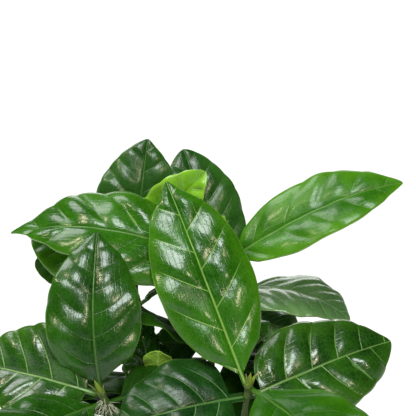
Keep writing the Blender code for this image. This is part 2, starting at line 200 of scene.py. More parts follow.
class Leaf(NamedTuple):
    """Angles in degrees, lengths in metres. Azimuth 0 is +X and -90 the front; rise is above level.

    Roll turns the upper face about the leaf's own length. Bow and sway bend the midrib towards the
    upper face and to the leaf's right. Fold lifts the two halves off the midrib, curl turns their
    margins back down, and wave ruffles them. Peak is where the blade is widest, lean how much
    nearer the tip that is on its right half, full how pointed its outline is, foot and tip how
    blunt its ends are. Twist turns the face about the midrib from the foot to the tip.
    """

    name: str
    stem: str
    height: float
    azimuth: float
    rise: float
    roll: float
    length: float
    width: float
    bow: tuple = (0.06, 0.08)
    sway: tuple = (0.0, 0.0)
    twist: float = 0.0
    fold: float = 0.26
    curl: float = 0.34
    wave: float = 0.0016
    waves: float = 2.6
    peak: float = 0.48
    lean: float = 0.0
    full: float = 1.5
    foot: float = 0.45
    tip: float = 0.45
    age: str = "mature"


class Pair(NamedTuple):
    """A node lower on a stem, whose two opposite leaves follow the rule."""

    stem: str
    height: float
    azimuth: float
    rise: float
    length: float
    age: str = "old"


STEMS = {
    "right": Stem(foot=(0.017, -0.018), tip=(0.025, -0.032, 0.200)),
    "left": Stem(foot=(-0.026, -0.019), tip=(-0.052, -0.031, 0.196)),
    "tall": Stem(foot=(0.003, 0.006), tip=(0.010, 0.015, 0.263), radius=0.0025),
    "rear_left": Stem(foot=(-0.022, 0.020), tip=(-0.038, 0.044, 0.244), radius=0.0024),
    "rear_right": Stem(foot=(0.016, 0.028), tip=(0.016, 0.047, 0.234), radius=0.0024),
    "middle": Stem(foot=(-0.009, -0.010), tip=(-0.022, -0.002, 0.182)),
    "side": Stem(foot=(0.034, 0.006), tip=(0.046, 0.016, 0.176)),
}

LEAVES = (
    Leaf(
        "leaf_right_upright", "right", 0.193, 131, 57, -33, 0.111, 0.048,
        bow=(0.02, 0.05), age="bright",
    ),
    Leaf(
        "leaf_right_front", "right", 0.192, -47, -22, 22, 0.096, 0.058,
        bow=(0.08, 0.07), foot=0.8, age="bright",
    ),
    Leaf(
        "leaf_right_out", "right", 0.187, 27, 12, 47, 0.083, 0.051,
        bow=(0.05, 0.10), peak=0.37, full=1.1, foot=1.0, tip=0.8,
    ),
    Leaf(
        "leaf_right_across", "right", 0.187, -167, -11, -44, 0.066, 0.054,
        bow=(0.07, 0.12), peak=0.30, full=0.9, foot=1.0, age="old",
    ),
    Leaf(
        "leaf_left_upright", "left", 0.188, 96, 67, -6, 0.081, 0.046,
        bow=(0.15, 0.10), sway=(-0.06, -0.03), peak=0.41, full=1.2, foot=0.35,
    ),
    Leaf("leaf_left_front", "left", 0.184, -138, -9, -28, 0.076, 0.040),
    Leaf(
        "leaf_left_out", "left", 0.188, 157, 6, -56, 0.068, 0.050,
        bow=(0.12, 0.14), fold=0.44, curl=0.28, peak=0.36, lean=0.06, full=1.3, foot=0.7,
    ),
    Leaf("leaf_left_in", "left", 0.184, 16, 10, 44, 0.036, 0.028, age="old"),
    Leaf(
        "leaf_tall_left", "tall", 0.245, 170, 6, -45, 0.107, 0.048,
        bow=(0.20, 0.22), twist=24, peak=0.39, lean=0.11, full=1.5, foot=0.2, age="bright",
    ),
    Leaf(
        "leaf_tall_right", "tall", 0.244, 4, 24, 40, 0.101, 0.037,
        bow=(0.09, 0.15), fold=0.36, curl=0.28, wave=0.0008, lean=-0.02, full=1.55,
        tip=0.7, age="bright",
    ),
    Leaf(
        "leaf_tall_bud", "tall", 0.256, -110, 86, 0, 0.014, 0.007,
        fold=0.7, curl=0.0, age="young",
    ),
    Leaf(
        "leaf_rear_left_upright", "rear_left", 0.236, 64, 75, 24, 0.067, 0.046,
        peak=0.39, lean=-0.04, full=1.35, foot=0.1, tip=0.9,
    ),
    Leaf(
        "leaf_rear_left_young", "rear_left", 0.236, -16, 54, 80, 0.065, 0.028,
        sway=(-0.04, -0.03), fold=0.4, curl=0.1, peak=0.46, full=1.3, foot=0.1, tip=1.0,
        age="young",
    ),
    Leaf(
        "leaf_rear_left_out", "rear_left", 0.232, 180, 21, -46, 0.054, 0.033,
        full=1.2, tip=0.8, age="bright",
    ),
    Leaf(
        "leaf_rear_left_low", "rear_left", 0.226, 170, 12, -44, 0.0525, 0.025,
        peak=0.52, lean=0.06, full=1.05, tip=1.0, age="old",
    ),
    Leaf(
        "leaf_rear_right_upright", "rear_right", 0.225, 135, 64, -29, 0.076, 0.040,
        full=1.3, tip=0.9,
    ),
    Leaf(
        "leaf_rear_right_out", "rear_right", 0.222, -14, -11, 12, 0.063, 0.044,
        bow=(0.16, 0.21), wave=0.0008, lean=-0.10, full=1.3, age="bright",
    ),
    Leaf("leaf_rear_right_low", "rear_right", 0.212, -30, -14, 26, 0.040, 0.026, age="bright"),
    Leaf(
        "leaf_tall_low", "tall", 0.201, 142, -7, -62, 0.043, 0.021,
        bow=(0.02, 0.02), peak=0.30, full=1.6, age="old",
    ),
    Leaf(
        "leaf_middle_upright", "middle", 0.174, 146, 73, -8, 0.047, 0.029,
        bow=(0.02, 0.05), wave=0.0024, peak=0.38, full=1.4, foot=0.2, tip=0.9,
    ),
    Leaf(
        "leaf_middle_curled", "middle", 0.178, -92, 77, 0, 0.028, 0.014,
        fold=0.2, curl=0.2, peak=0.64, lean=0.08, full=1.3, age="young",
    ),
)

LOWER_PAIRS = (
    Pair("right", 0.160, 120, -6, 0.086),
    Pair("right", 0.134, 28, -14, 0.070),
    Pair("left", 0.171, 97, 3, 0.078),
    Pair("left", 0.134, 190, -14, 0.068),
    Pair("tall", 0.224, 110, -10, 0.060, "mature"),
    Pair("tall", 0.198, 160, -14, 0.062),
    Pair("rear_left", 0.218, 130, 0, 0.062, "mature"),
    Pair("rear_left", 0.182, 100, -8, 0.080),
    Pair("rear_left", 0.156, 186, -9, 0.068),
    Pair("rear_right", 0.214, 96, 0, 0.066, "mature"),
    Pair("rear_right", 0.190, -15, -24, 0.060),
    Pair("rear_right", 0.158, 0, -10, 0.070),
    Pair("middle", 0.150, 250, 4, 0.060),
    Pair("side", 0.168, 75, 10, 0.072, "mature"),
    Pair("side", 0.150, -12, -6, 0.078),
)


class Veining(NamedTuple):
    """How one leaf's side veins run: how many, how far they slant and hook forward, and where each
    half's first one leaves the midrib. Pale is how much they stand out, puff how far the blade
    swells between them, and scallop how far its outline follows in millimetres.
    """

    count: float = 5.4
    slant: float = 0.6
    hook: float = 1.3
    first: tuple = (0.06, 0.15)
    pale: float = 0.3
    puff: float = 1.0
    scallop: float = 0.35


VEINING = {
    "leaf_right_upright": Veining(5.0, 0.80, 0.9, (0.012, 0.126), pale=0.85, puff=0.65),
    "leaf_right_out": Veining(5.2, 0.25, 1.2, (0.18, 0.05), pale=0.85, puff=1.4, scallop=0.6),
    "leaf_right_across": Veining(5.0, 0.35, 1.4, (0.10, 0.02), pale=0.75, puff=0.8),
    "leaf_right_front": Veining(5.0, 0.5, 1.2, pale=0.2, puff=0.8),
    "leaf_left_upright": Veining(6.6, 0.15, 2.6, (0.11, 0.13), pale=0.16, puff=0.36),
    "leaf_left_out": Veining(4.6, 0.45, 0.9, (0.15, 0.06), pale=0.95, puff=1.4, scallop=0.8),
    "leaf_left_front": Veining(5.0, 0.5, 1.2, pale=0.25, puff=0.9),
    "leaf_tall_left": Veining(5.4, 0.85, 1.2, (0.12, 0.10), pale=0.12, puff=1.0, scallop=1.0),
    "leaf_tall_right": Veining(5.2, 0.75, 1.4, (0.13, 0.08), pale=0.15, puff=0.65, scallop=0.4),
    "leaf_rear_left_upright": Veining(5.4, 0.7, 1.0, pale=0.2, puff=0.7),
    "leaf_rear_left_young": Veining(4.6, 0.7, 1.0, pale=0.3, puff=1.5, scallop=0.8),
    "leaf_rear_right_upright": Veining(5.4, 0.7, 1.0, pale=0.3, puff=0.7),
    "leaf_rear_right_out": Veining(6.0, 0.7, 1.4, pale=0.55, puff=0.75, scallop=0.6),
    "leaf_rear_right_low": Veining(9.0, 0.6, 1.4, pale=0.7, puff=1.0, scallop=0.5),
    "leaf_middle_upright": Veining(5.0, 0.5, 1.2, pale=0.3, puff=1.4, scallop=1.0),
}


class LeafTone(NamedTuple):
    """Linear colours of one kind of leaf, and its upper face's roughness, wax and sheen."""

    deep: tuple
    fresh: tuple
    margin: tuple
    vein: tuple
    under: tuple
    rough: float
    wax: float
    sheen: float = 1.0


LEAF_TONES = {
    "young": LeafTone(
        deep=(0.060, 0.240, 0.005), fresh=(0.180, 0.450, 0.012), margin=(0.30, 0.58, 0.03),
        vein=(0.36, 0.58, 0.10), under=(0.24, 0.42, 0.04), rough=0.27, wax=0.25,
    ),
    "bright": LeafTone(
        deep=(0.008, 0.070, 0.0010), fresh=(0.025, 0.135, 0.0015), margin=(0.056, 0.200, 0.002),
        vein=(0.20, 0.38, 0.06), under=(0.09, 0.22, 0.03), rough=0.24, wax=0.2,
    ),
    "mature": LeafTone(
        deep=(0.004, 0.038, 0.001), fresh=(0.011, 0.072, 0.001), margin=(0.024, 0.108, 0.002),
        vein=(0.12, 0.27, 0.05), under=(0.06, 0.16, 0.03), rough=0.24, wax=0.2,
    ),
    "old": LeafTone(
        deep=(0.003, 0.027, 0.003), fresh=(0.008, 0.054, 0.005), margin=(0.014, 0.068, 0.004),
        vein=(0.09, 0.22, 0.05), under=(0.03, 0.08, 0.02), rough=0.31, wax=0.08, sheen=0.75,
    ),
    # Paler grey-green than a leaf's own green: painted sheen, for upper faces that catch the pale
    # surroundings at a grazing angle
    "painted_sheen": LeafTone(
        deep=(0.062, 0.155, 0.044), fresh=(0.105, 0.225, 0.075), margin=(0.17, 0.31, 0.11),
        vein=(0.26, 0.40, 0.17), under=(0.10, 0.20, 0.06), rough=0.27, wax=0.2,
    ),
    # A shaded copy of the leaf finish: painted shade, dull and with almost no sheen, for leaves
    # under the crown
    "shaded": LeafTone(
        deep=(0.006, 0.036, 0.002), fresh=(0.013, 0.064, 0.003), margin=(0.026, 0.092, 0.003),
        vein=(0.06, 0.15, 0.02), under=(0.03, 0.08, 0.02), rough=0.50, wax=0.0, sheen=0.10,
    ),
    "satin": LeafTone(
        deep=(0.010, 0.074, 0.0006), fresh=(0.022, 0.112, 0.0008), margin=(0.050, 0.180, 0.001),
        vein=(0.14, 0.30, 0.04), under=(0.09, 0.22, 0.03), rough=0.33, wax=0.03, sheen=0.35,
    ),
    "waxy": LeafTone(
        deep=(0.003, 0.037, 0.001), fresh=(0.018, 0.092, 0.002), margin=(0.05, 0.15, 0.006),
        vein=(0.18, 0.34, 0.08), under=(0.06, 0.16, 0.03), rough=0.25, wax=0.25, sheen=1.3,
    ),
    "lively": LeafTone(
        deep=(0.016, 0.105, 0.0015), fresh=(0.046, 0.190, 0.003), margin=(0.10, 0.30, 0.006),
        vein=(0.20, 0.40, 0.06), under=(0.09, 0.22, 0.03), rough=0.30, wax=0.12, sheen=0.75,
    ),
    "soft": LeafTone(
        deep=(0.006, 0.050, 0.003), fresh=(0.017, 0.090, 0.006), margin=(0.045, 0.14, 0.02),
        vein=(0.12, 0.25, 0.06), under=(0.06, 0.16, 0.03), rough=0.30, wax=0.12, sheen=0.85,
    ),
}

# Leaves that look different from others of their age, some with painted shade, painted sheen or
# painted light in their tone
OWN_TONES = {
    "leaf_left_in": "shaded",
    "leaf_rear_left_low": "shaded",
    "leaf_tall_low": "shaded",
    "leaf_rear_right_out": "painted_sheen",
    "leaf_rear_right_low": "painted_sheen",
    "leaf_right_front": "satin",
    "leaf_right_out": "waxy",
    "leaf_left_out": "waxy",
    "leaf_tall_right": "lively",
    # Lighter lime than its age: painted light, for the light that shines through it from behind
    "leaf_rear_left_out": "lively",
    "leaf_rear_left_upright": "soft",
    "leaf_rear_right_upright": "soft",
}


def length_setting(name, description, default, low, high):
    """A length given in millimetres and kept in metres."""
    low, default, high = (MILLIMETRE * size for size in (low, default, high))
    return FloatProperty(
        name=name, description=description, default=default, min=low, max=high, unit="LENGTH"
    )


def number_setting(name, description, default, low, high):
    """A plain number, such as a strength."""
    return FloatProperty(name=name, description=description, default=default, min=low, max=high)


def count_setting(name, description, default, high):
    """How many of something there are."""
    return IntProperty(name=name, description=description, default=default, min=0, max=high)


def colour_setting(name, description, default):
    """A linear colour."""
    return FloatVectorProperty(
        name=name, description=description, default=default, min=0.0, max=1.0, subtype="COLOR"
    )


class LeafSettings(bpy.types.PropertyGroup):
    """Sizes and gloss of the leaves."""

    puff: length_setting(
        "Puff", "How high the blade swells between side veins on a leaf 10 cm long", 1.4, 0.0, 3.0
    )
    swell: length_setting("Swell", "Height of the long soft waves over a blade", 0.5, 0.0, 3.0)
    groove: length_setting("Groove", "Depth of the furrow along the midrib", 0.5, 0.0, 2.0)
    row_step: length_setting(
        "Row step", "Distance between rows of points along a blade", 0.95, 0.5, 10.0
    )
    column_step: length_setting(
        "Column step", "Distance between columns of points across a blade", 1.2, 0.5, 10.0
    )
    lower_coarseness: number_setting(
        "Lower coarseness", "How much wider the steps are on leaves down the stems", 1.5, 1.0, 4.0
    )
    net: length_setting("Vein net", "Width of the cells of the fine vein net", 2.3, 0.5, 10.0)
    rung: length_setting(
        "Rungs", "Distance between the small veins that join the side veins", 2.6, 1.0, 20.0
    )
    shine: number_setting("Shine", "Strength of the upper face's soft sheen", 0.45, 0.0, 1.0)
    wax: number_setting(
        "Wax", "How much of its thin, glossy wax the upper face of a leaf keeps", 1.0, 0.0, 1.0
    )


class StemSettings(bpy.types.PropertyGroup):
    """Sizes and colours of the stems, their scales and bristles."""

    green: colour_setting("Green bark", "Colour of young bark", (0.045, 0.090, 0.012))
    brown: colour_setting("Brown bark", "Colour of bark lower down", (0.060, 0.034, 0.018))
    scale_length: length_setting(
        "Scale length", "Length of the pointed scales between a pair's petioles", 5.0, 1.0, 20.0
    )
    bristles: count_setting("Bristles", "Dry bristles under the left stem's top pair", 40, 120)
    bristle_length: length_setting("Bristle length", "Length of a dry bristle", 10.5, 1.0, 20.0)


class PotSettings(bpy.types.PropertyGroup):
    """Sizes and colours of the pot and the soil."""

    pot_colour: colour_setting("Pot colour", "Colour of the pot's plastic", (0.38, 0.135, 0.065))
    soil_colour: colour_setting("Soil colour", "Colour of moist soil", (0.030, 0.018, 0.011))
    crumbs: count_setting("Crumbs", "Loose crumbs on the soil", 900, 1500)
    chips: count_setting("Bark chips", "Longer, paler chips on the soil", 70, 300)
    crumb_size: length_setting("Crumb size", "Radius of a large crumb", 1.5, 0.3, 4.0)


class StageSettings(bpy.types.PropertyGroup):
    """The floor, the lights and the camera."""

    floor_colour: colour_setting("Floor colour", "Colour of the floor", (0.62, 0.62, 0.62))
    floor_radius: length_setting(
        "Floor radius", "Radius of the floor", 9000.0, 1000.0, 30000.0
    )
    key_strength: number_setting("Key strength", "Strength of the cool main light", 2.1, 0.0, 20.0)
    back_strength: number_setting(
        "Back strength", "Strength of the wide light from above and behind", 1.6, 0.0, 20.0
    )
    fill_strength: number_setting(
        "Fill strength", "Strength of the surroundings", 0.42, 0.0, 5.0
    )
    lens: number_setting(
        "Lens", "Focal length for a sensor 36 mm wide, in millimetres", 155.8, 20.0, 400.0
    )
    distance: length_setting(
        "Distance", "From the camera to the point that it looks at", 900.0, 200.0, 5000.0
    )
    elevation: FloatProperty(
        name="Elevation", description="How far the camera looks down",
        default=math.radians(12.0), min=0.0, max=1.5, subtype="ANGLE",
    )


def maths_of(operation, swapped=False):
    """An operator between a shader socket and a socket or a number."""

    def apply(self, other):
        terms = (other, self) if swapped else (self, other)
        return self.recipe.maths(operation, *terms)

    return apply


class Value:
    """A shader socket that adds, scales and compares like a number."""

    __add__ = __radd__ = maths_of("ADD")
    __mul__ = __rmul__ = maths_of("MULTIPLY")
    __sub__ = maths_of("SUBTRACT")
    __rsub__ = maths_of("SUBTRACT", swapped=True)
    __pow__ = maths_of("POWER")

    def __init__(self, recipe, socket):
        self.recipe = recipe
        self.socket = socket

    def __abs__(self):
        return self.recipe.maths("ABSOLUTE", self)

    def fraction(self):
        return self.recipe.maths("FRACT", self)

    def rise(self, low, high):
        """0 below low, 1 above high and a smooth step between."""
        settings = {"interpolation_type": "SMOOTHSTEP"}
        sockets = {"Value": self, "From Min": low, "From Max": high}
        return self.recipe.add("ShaderNodeMapRange", settings, sockets)["Result"]

    def fall(self, low, high):
        """1 below low, 0 above high and a smooth step between."""
        return 1.0 - self.rise(low, high)


class Recipe:
    """The node tree of one material or of the world, written as expressions."""

    def __init__(self, owner):
        self.owner = owner
        owner.use_nodes = True
        self.tree = owner.node_tree
        self.tree.nodes.clear()

    @classmethod
    def material(cls, name):
        return cls(bpy.data.materials.new(name))

    def add(self, kind, settings=(), sockets=()):
        """A node of any kind: its settings first, then the values or links of its sockets."""
        node = self.tree.nodes.new(kind)
        for name, value in dict(settings).items():
            setattr(node, name, value)
        for name, value in dict(sockets).items():
            if isinstance(value, Value):
                self.tree.links.new(value.socket, node.inputs[name])
            else:
                node.inputs[name].default_value = value
        return {socket.identifier: Value(self, socket) for socket in node.outputs} | {
            socket.name: Value(self, socket) for socket in node.outputs if socket.enabled
        }

    def maths(self, operation, *terms):
        sockets = dict(enumerate(terms))
        return self.add("ShaderNodeMath", {"operation": operation}, sockets)["Value"]

    def blend(self, share, first, second):
        """Colour first where share is 0 and second where it is 1."""
        settings = {"data_type": "RGBA", "blend_type": "MIX", "clamp_factor": True}
        sockets = {0: share, 6: opaque(first), 7: opaque(second)}
        return self.add("ShaderNodeMix", settings, sockets)["Result_Color"]

    def layered(self, colour, *layers):
        """A colour with others laid over it, each with the share that covers what is below."""
        for share, over in layers:
            colour = self.blend(share, colour, over)
        return colour

    def place(self):
        """Where a point is on the object, in metres."""
        return self.add("ShaderNodeTexCoord")["Object"]

    def level(self):
        """How high a point is, in metres."""
        return self.add("ShaderNodeSeparateXYZ", (), {"Vector": self.place()})["Z"]

    def pair(self, layer):
        """The two numbers that a UV map keeps for each corner."""
        found = self.add("ShaderNodeUVMap", {"uv_map": layer})["UV"]
        parts = self.add("ShaderNodeSeparateXYZ", (), {"Vector": found})
        return parts["X"], parts["Y"]

    def cloud(self, size, detail=2.0, roughness=0.5):
        """Soft noise between about 0.2 and 0.8, whose patches are about that many metres wide."""
        sockets = {"Scale": 1.0 / size, "Detail": detail, "Roughness": roughness}
        return self.add("ShaderNodeTexNoise", (), {"Vector": self.place(), **sockets})["Fac"]

    def cells(self, size):
        """Distance from the walls of irregular cells of that width, 0 on a wall."""
        settings = {"feature": "DISTANCE_TO_EDGE"}
        sockets = {"Vector": self.place(), "Scale": 1.0 / size}
        return self.add("ShaderNodeTexVoronoi", settings, sockets)["Distance"]

    def bump(self, height):
        """The normal of a surface raised by height, in millimetres."""
        sockets = {"Height": height, "Distance": MILLIMETRE, "Strength": 1.0}
        return self.add("ShaderNodeBump", (), sockets)["Normal"]

    def finish(self, **sockets):
        """Ends in one Principled shader. A socket's name has underscores in place of spaces."""
        named = {name.replace("_", " "): value for name, value in sockets.items()}
        for name, value in named.items():
            if isinstance(value, tuple):
                named[name] = opaque(value)
        shader = self.add("ShaderNodeBsdfPrincipled", (), named)["BSDF"]
        self.add("ShaderNodeOutputMaterial", (), {"Surface": shader})
        return self.owner


def opaque(colour):
    """A colour of three numbers with full alpha, or a socket as it is."""
    return colour if isinstance(colour, Value) else (*colour, 1.0)


def shaded(colour, light):
    """A colour made darker or lighter."""
    return tuple(min(1.0, light * channel) for channel in colour)


def blade_marks(recipe):
    """Edge, share, phase, side and pale at a point of a blade, and how far its side vein is."""
    across, share = recipe.pair("blade")
    phase, gap = recipe.pair("veins")
    side, pale = recipe.pair("lay")
    reach = (0.5 - abs(phase.fraction() - 0.5)) * gap
    return abs(across), share, phase, abs(side), pale, reach


def leaf_upper(age, settings):
    """The waxy upper face: green between sunken pale veins, with painted shade along them, a fine
    net and a pale margin.
    """
    tone = LEAF_TONES[age]
    recipe = Recipe.material(f"coffee_leaf_{age}_upper")
    edge, share, phase, side, pale, reach = blade_marks(recipe)
    broad = recipe.cloud(0.018)
    mottle = recipe.cloud(0.0035, detail=4.0)
    dents = recipe.cloud(0.005)
    net = recipe.cells(settings.net)
    rib_half = 0.80 - 0.5 * share
    rib = side.fall(rib_half * 0.55, rib_half)
    rib_core = side.fall(0.0, rib_half * 0.45)
    line = reach.fall(0.12, 0.42) * edge.fall(0.55, 0.95)
    # Painted shade: the blade turns towards deep green along its sunken side veins
    valley_shade = reach.fall(0.0, 1.8) * edge.fall(0.6, 1.0)
    rungs = (side * (MILLIMETRE / settings.rung) + mottle * 0.9 + phase * 0.5).fraction()
    rung = abs(rungs - 0.5).rise(0.36, 0.5) * edge.fall(0.7, 0.95)
    thread = net.fall(0.02, 0.12)
    green = recipe.layered(
        tone.deep,
        (broad.rise(0.36, 0.64), tone.fresh),
        (mottle.rise(0.35, 0.75) * 0.3, tone.fresh),
        (valley_shade * 0.45, tone.deep),
        (edge**3 * 0.5, tone.margin),
        (thread * 0.08, tone.vein),
        (line * pale, tone.vein),
        (rib * (0.25 + 0.75 * pale), tone.vein),
        (rib_core * 0.4, tone.fresh),
        (edge.rise(0.965, 1.0) * 0.5, tone.vein),
    )
    height = net.rise(0.0, 0.35) * 0.02 - rung * 0.035 + mottle * 0.06 + dents * 0.20
    height = height - line * 0.09 - rib * 0.12 + rib_core * 0.07
    rough = tone.rough + (mottle - 0.5) * 0.20 + (broad - 0.5) * 0.15 + rib * 0.08
    return recipe.finish(
        Base_Color=green,
        Roughness=rough,
        IOR=1.46,
        Specular_IOR_Level=settings.shine * tone.sheen,
        Coat_Weight=settings.wax * tone.wax,
        Coat_Roughness=0.13,
        Coat_IOR=1.4,
        Normal=recipe.bump(height),
    )


def leaf_under(age, settings):
    """The paler, matt lower face, whose veins stand proud."""
    tone = LEAF_TONES[age]
    recipe = Recipe.material(f"coffee_leaf_{age}_under")
    edge, share, _, side, _, reach = blade_marks(recipe)
    rib = side.fall(0.5, 1.2 - 0.6 * share)
    line = reach.fall(0.15, 0.5) * edge.fall(0.75, 1.0)
    mottle = recipe.cloud(0.004, detail=4.0)
    net = recipe.cells(settings.net)
    thread = net.fall(0.03, 0.15)
    green = recipe.layered(
        tone.under,
        (mottle.rise(0.3, 0.7), tone.fresh),
        (0.55, tone.under),
        (thread * 0.25, tone.vein),
        (line * 0.6, tone.vein),
        (rib * 0.8, tone.vein),
    )
    height = thread * 0.05 + line * 0.2 + mottle * 0.06
    return recipe.finish(
        Base_Color=green,
        Roughness=0.5 + mottle * 0.15,
        IOR=1.4,
        Normal=recipe.bump(height),
    )


def stem_bark(settings):
    """Green bark at the tips that turns brown and corky lower down."""
    recipe = Recipe.material("coffee_bark")
    sockets = {0: recipe.place(), 1: (1.0, 1.0, 0.12)}
    tall = recipe.add("ShaderNodeVectorMath", {"operation": "MULTIPLY"}, sockets)["Vector"]
    sockets = {"Vector": tall, "Scale": 1600.0, "Detail": 5.0}
    grain = recipe.add("ShaderNodeTexNoise", (), sockets)["Fac"]
    patch = recipe.cloud(0.006, detail=3.0)
    woody = (recipe.level() + patch * 0.05).fall(0.165, 0.215)
    bark = recipe.blend(grain.rise(0.35, 0.7) * 0.6, settings.brown, (0.11, 0.075, 0.043))
    _, bud = recipe.pair("blade")
    fresh = (bud.rise(0.0, 0.25), (0.17, 0.25, 0.022))
    skin = recipe.layered(settings.green, (grain * 0.5, (0.085, 0.150, 0.020)), fresh)
    return recipe.finish(
        Base_Color=recipe.blend(woody, skin, bark),
        Roughness=0.48 + woody * 0.3,
        Normal=recipe.bump(grain * 0.12 * (0.3 + woody)),
    )


def scale_skin():
    """Yellow-green bud scales with drier tips."""
    recipe = Recipe.material("coffee_scale")
    _, share = recipe.pair("blade")
    mottle = recipe.cloud(0.0015, detail=3.0)
    green = recipe.blend(mottle.rise(0.3, 0.7), (0.10, 0.17, 0.015), (0.22, 0.29, 0.035))
    colour = recipe.blend((share + mottle * 0.2).rise(0.75, 1.1), green, (0.30, 0.22, 0.10))
    return recipe.finish(Base_Color=colour, Roughness=0.42, Normal=recipe.bump(mottle * 0.08))


def bristle_skin():
    """Whitish, papery bristles."""
    recipe = Recipe.material("coffee_bristle")
    mottle = recipe.cloud(0.001, detail=3.0)
    colour = recipe.blend(mottle.rise(0.3, 0.7), (0.38, 0.40, 0.28), (0.72, 0.72, 0.60))
    return recipe.finish(Base_Color=colour, Roughness=0.7, Normal=recipe.bump(mottle * 0.05))


def soil_crust(name, settings, light=1.0):
    """Moist, crumbly peat soil; light scales its colour."""
    recipe = Recipe.material(name)
    grain = recipe.cloud(0.0009, detail=6.0, roughness=0.7)
    patch = recipe.cloud(0.006, detail=3.0)
    plain, dark, pale = (shaded(settings.soil_colour, part * light) for part in (1.0, 0.55, 2.4))
    layers = (grain.rise(0.35, 0.7), plain), (patch.rise(0.5, 0.75) * 0.5, pale)
    return recipe.finish(
        Base_Color=recipe.layered(dark, *layers),
        Roughness=0.86 + grain * 0.12,
        Normal=recipe.bump(grain * 0.5 + patch * 0.4),
    )


def pot_plastic(settings):
    """Matt moulded plastic with a faint orange-peel skin, scuffed and dusty near its rim."""
    recipe = Recipe.material("nursery_pot_plastic")
    peel = recipe.cloud(0.0006, detail=3.0)
    cloudy = recipe.cloud(0.02, detail=4.0)
    scuff = recipe.cloud(0.0035, detail=6.0, roughness=0.75).rise(0.58, 0.72)
    near_rim = recipe.level().rise(POT_HEIGHT - SCUFFED_BELOW_RIM, POT_HEIGHT)
    body, dark = settings.pot_colour, shaded(settings.pot_colour, 0.72)
    dusty = tuple(0.6 * channel + 0.22 for channel in settings.pot_colour)
    layers = (cloudy.rise(0.3, 0.7), body), (scuff * (0.12 + near_rim * 0.35), dusty)
    return recipe.finish(
        Base_Color=recipe.layered(dark, *layers),
        Roughness=0.5 + cloudy * 0.12 + scuff * 0.12,
        Normal=recipe.bump(peel * 0.05 + cloudy * 0.08),
    )


def floor_paper(settings):
    """Plain pale paper."""
    recipe = Recipe.material("stage_paper")
    fibre = recipe.cloud(0.004, detail=4.0)
    return recipe.finish(
        Base_Color=recipe.blend(fibre, settings.floor_colour, shaded(settings.floor_colour, 0.985)),
        Roughness=0.9,
        Emission_Color=WHITE,
        Emission_Strength=0.30,
    )


def unit(rows):
    return rows / np.linalg.norm(rows, axis=-1, keepdims=True)


def direction(azimuth, rise=0.0):
    """The unit vector to an azimuth, rising above level by the second angle."""
    level = math.cos(rise)
    return Vector((level * math.cos(azimuth), level * math.sin(azimuth), math.sin(rise)))


def stem_axis(stem, height):
    """The stem's centre at a height: upright at the soil, leaning further the higher it is."""
    start = SOIL_CROWN + STEM_STRAIGHT
    share = max(0.0, (height - start) / (stem.tip[2] - start)) ** STEM_BEND
    x = stem.foot[0] + (stem.tip[0] - stem.foot[0]) * share
    y = stem.foot[1] + (stem.tip[1] - stem.foot[1]) * share
    return Vector((x, y, height))


def stem_radius(stem, height):
    share = (height - SOIL_CROWN) / (stem.tip[2] - SOIL_CROWN)
    return stem.radius + (stem.tip_radius - stem.radius) * min(1.0, max(0.0, share))


def leaf_axes(leaf):
    """Unit vectors along the leaf, off its upper face, and to its right."""
    azimuth, rise = math.radians(leaf.azimuth), math.radians(leaf.rise)
    along = direction(azimuth, rise)
    face = direction(azimuth, rise + 0.5 * math.pi)
    face = Matrix.Rotation(math.radians(leaf.roll), 3, along) @ face
    return along, face, along.cross(face)


def leaf_seat(leaf):
    """Where the petiole meets the stem's node."""
    stem = STEMS[leaf.stem]
    outward = direction(math.radians(leaf.azimuth))
    _, face, right = leaf_axes(leaf)
    lean = PETIOLE_HALF * abs(right.dot(outward)) + PETIOLE_THICK * max(0.0, face.dot(outward))
    reach = stem_radius(stem, leaf.height) * NODE_SWELL + SEAT_GAP + SEAT_LEAN * lean
    return stem_axis(stem, leaf.height) + reach * outward


def leaf_rail(leaf, shares):
    """The midrib's points, the face's normals and the leaf's right, one row for each share."""
    along, face, right = (np.array(axis) for axis in leaf_axes(leaf))
    first = np.array(leaf_seat(leaf))
    last = first + leaf.length * along
    bends = []
    for step, (bow, sway) in enumerate(zip(leaf.bow, leaf.sway), 1):
        bends.append(first + leaf.length * (along * step / 3 + face * bow + right * sway))
    second, third = bends
    share = shares[:, None]
    rest = 1.0 - share
    points = first * rest**3 + last * share**3
    points = points + second * (3 * share * rest**2) + third * (3 * share**2 * rest)
    slope = (second - first) * (3 * rest**2) + (last - third) * (3 * share**2)
    slope = unit(slope + (third - second) * (6 * share * rest))
    turn = math.radians(leaf.twist) * (share - 0.5)
    face = face * np.cos(turn) + right * np.sin(turn)
    normals = unit(face - slope * (slope * face).sum(1)[:, None])
    return points, normals, np.cross(slope, normals)


def blade_profile(leaf, share, across):
    """Half width of the blade at shares of its length, against half its greatest width."""
    share = np.clip(share, 1e-6, 1.0 - 1e-6)[:, None]
    peak = leaf.peak + leaf.lean * np.sign(across)
    before = (share / peak) ** (leaf.full * peak)
    after = ((1.0 - share) / (1.0 - peak)) ** (leaf.full * (1.0 - peak))
    drip = np.minimum(1.0, leaf.tip + (1.0 - leaf.tip) * (1.0 - share) / TIP_SHARE)
    foot = np.minimum(1.0, leaf.foot + (1.0 - leaf.foot) * share / FOOT_SHARE)
    return before * after * drip * foot


class Sheet(NamedTuple):
    """A leaf's upper face as a grid of points, with what each row and column needs later."""

    points: np.ndarray
    normals: np.ndarray
    half: np.ndarray
    blade: np.ndarray


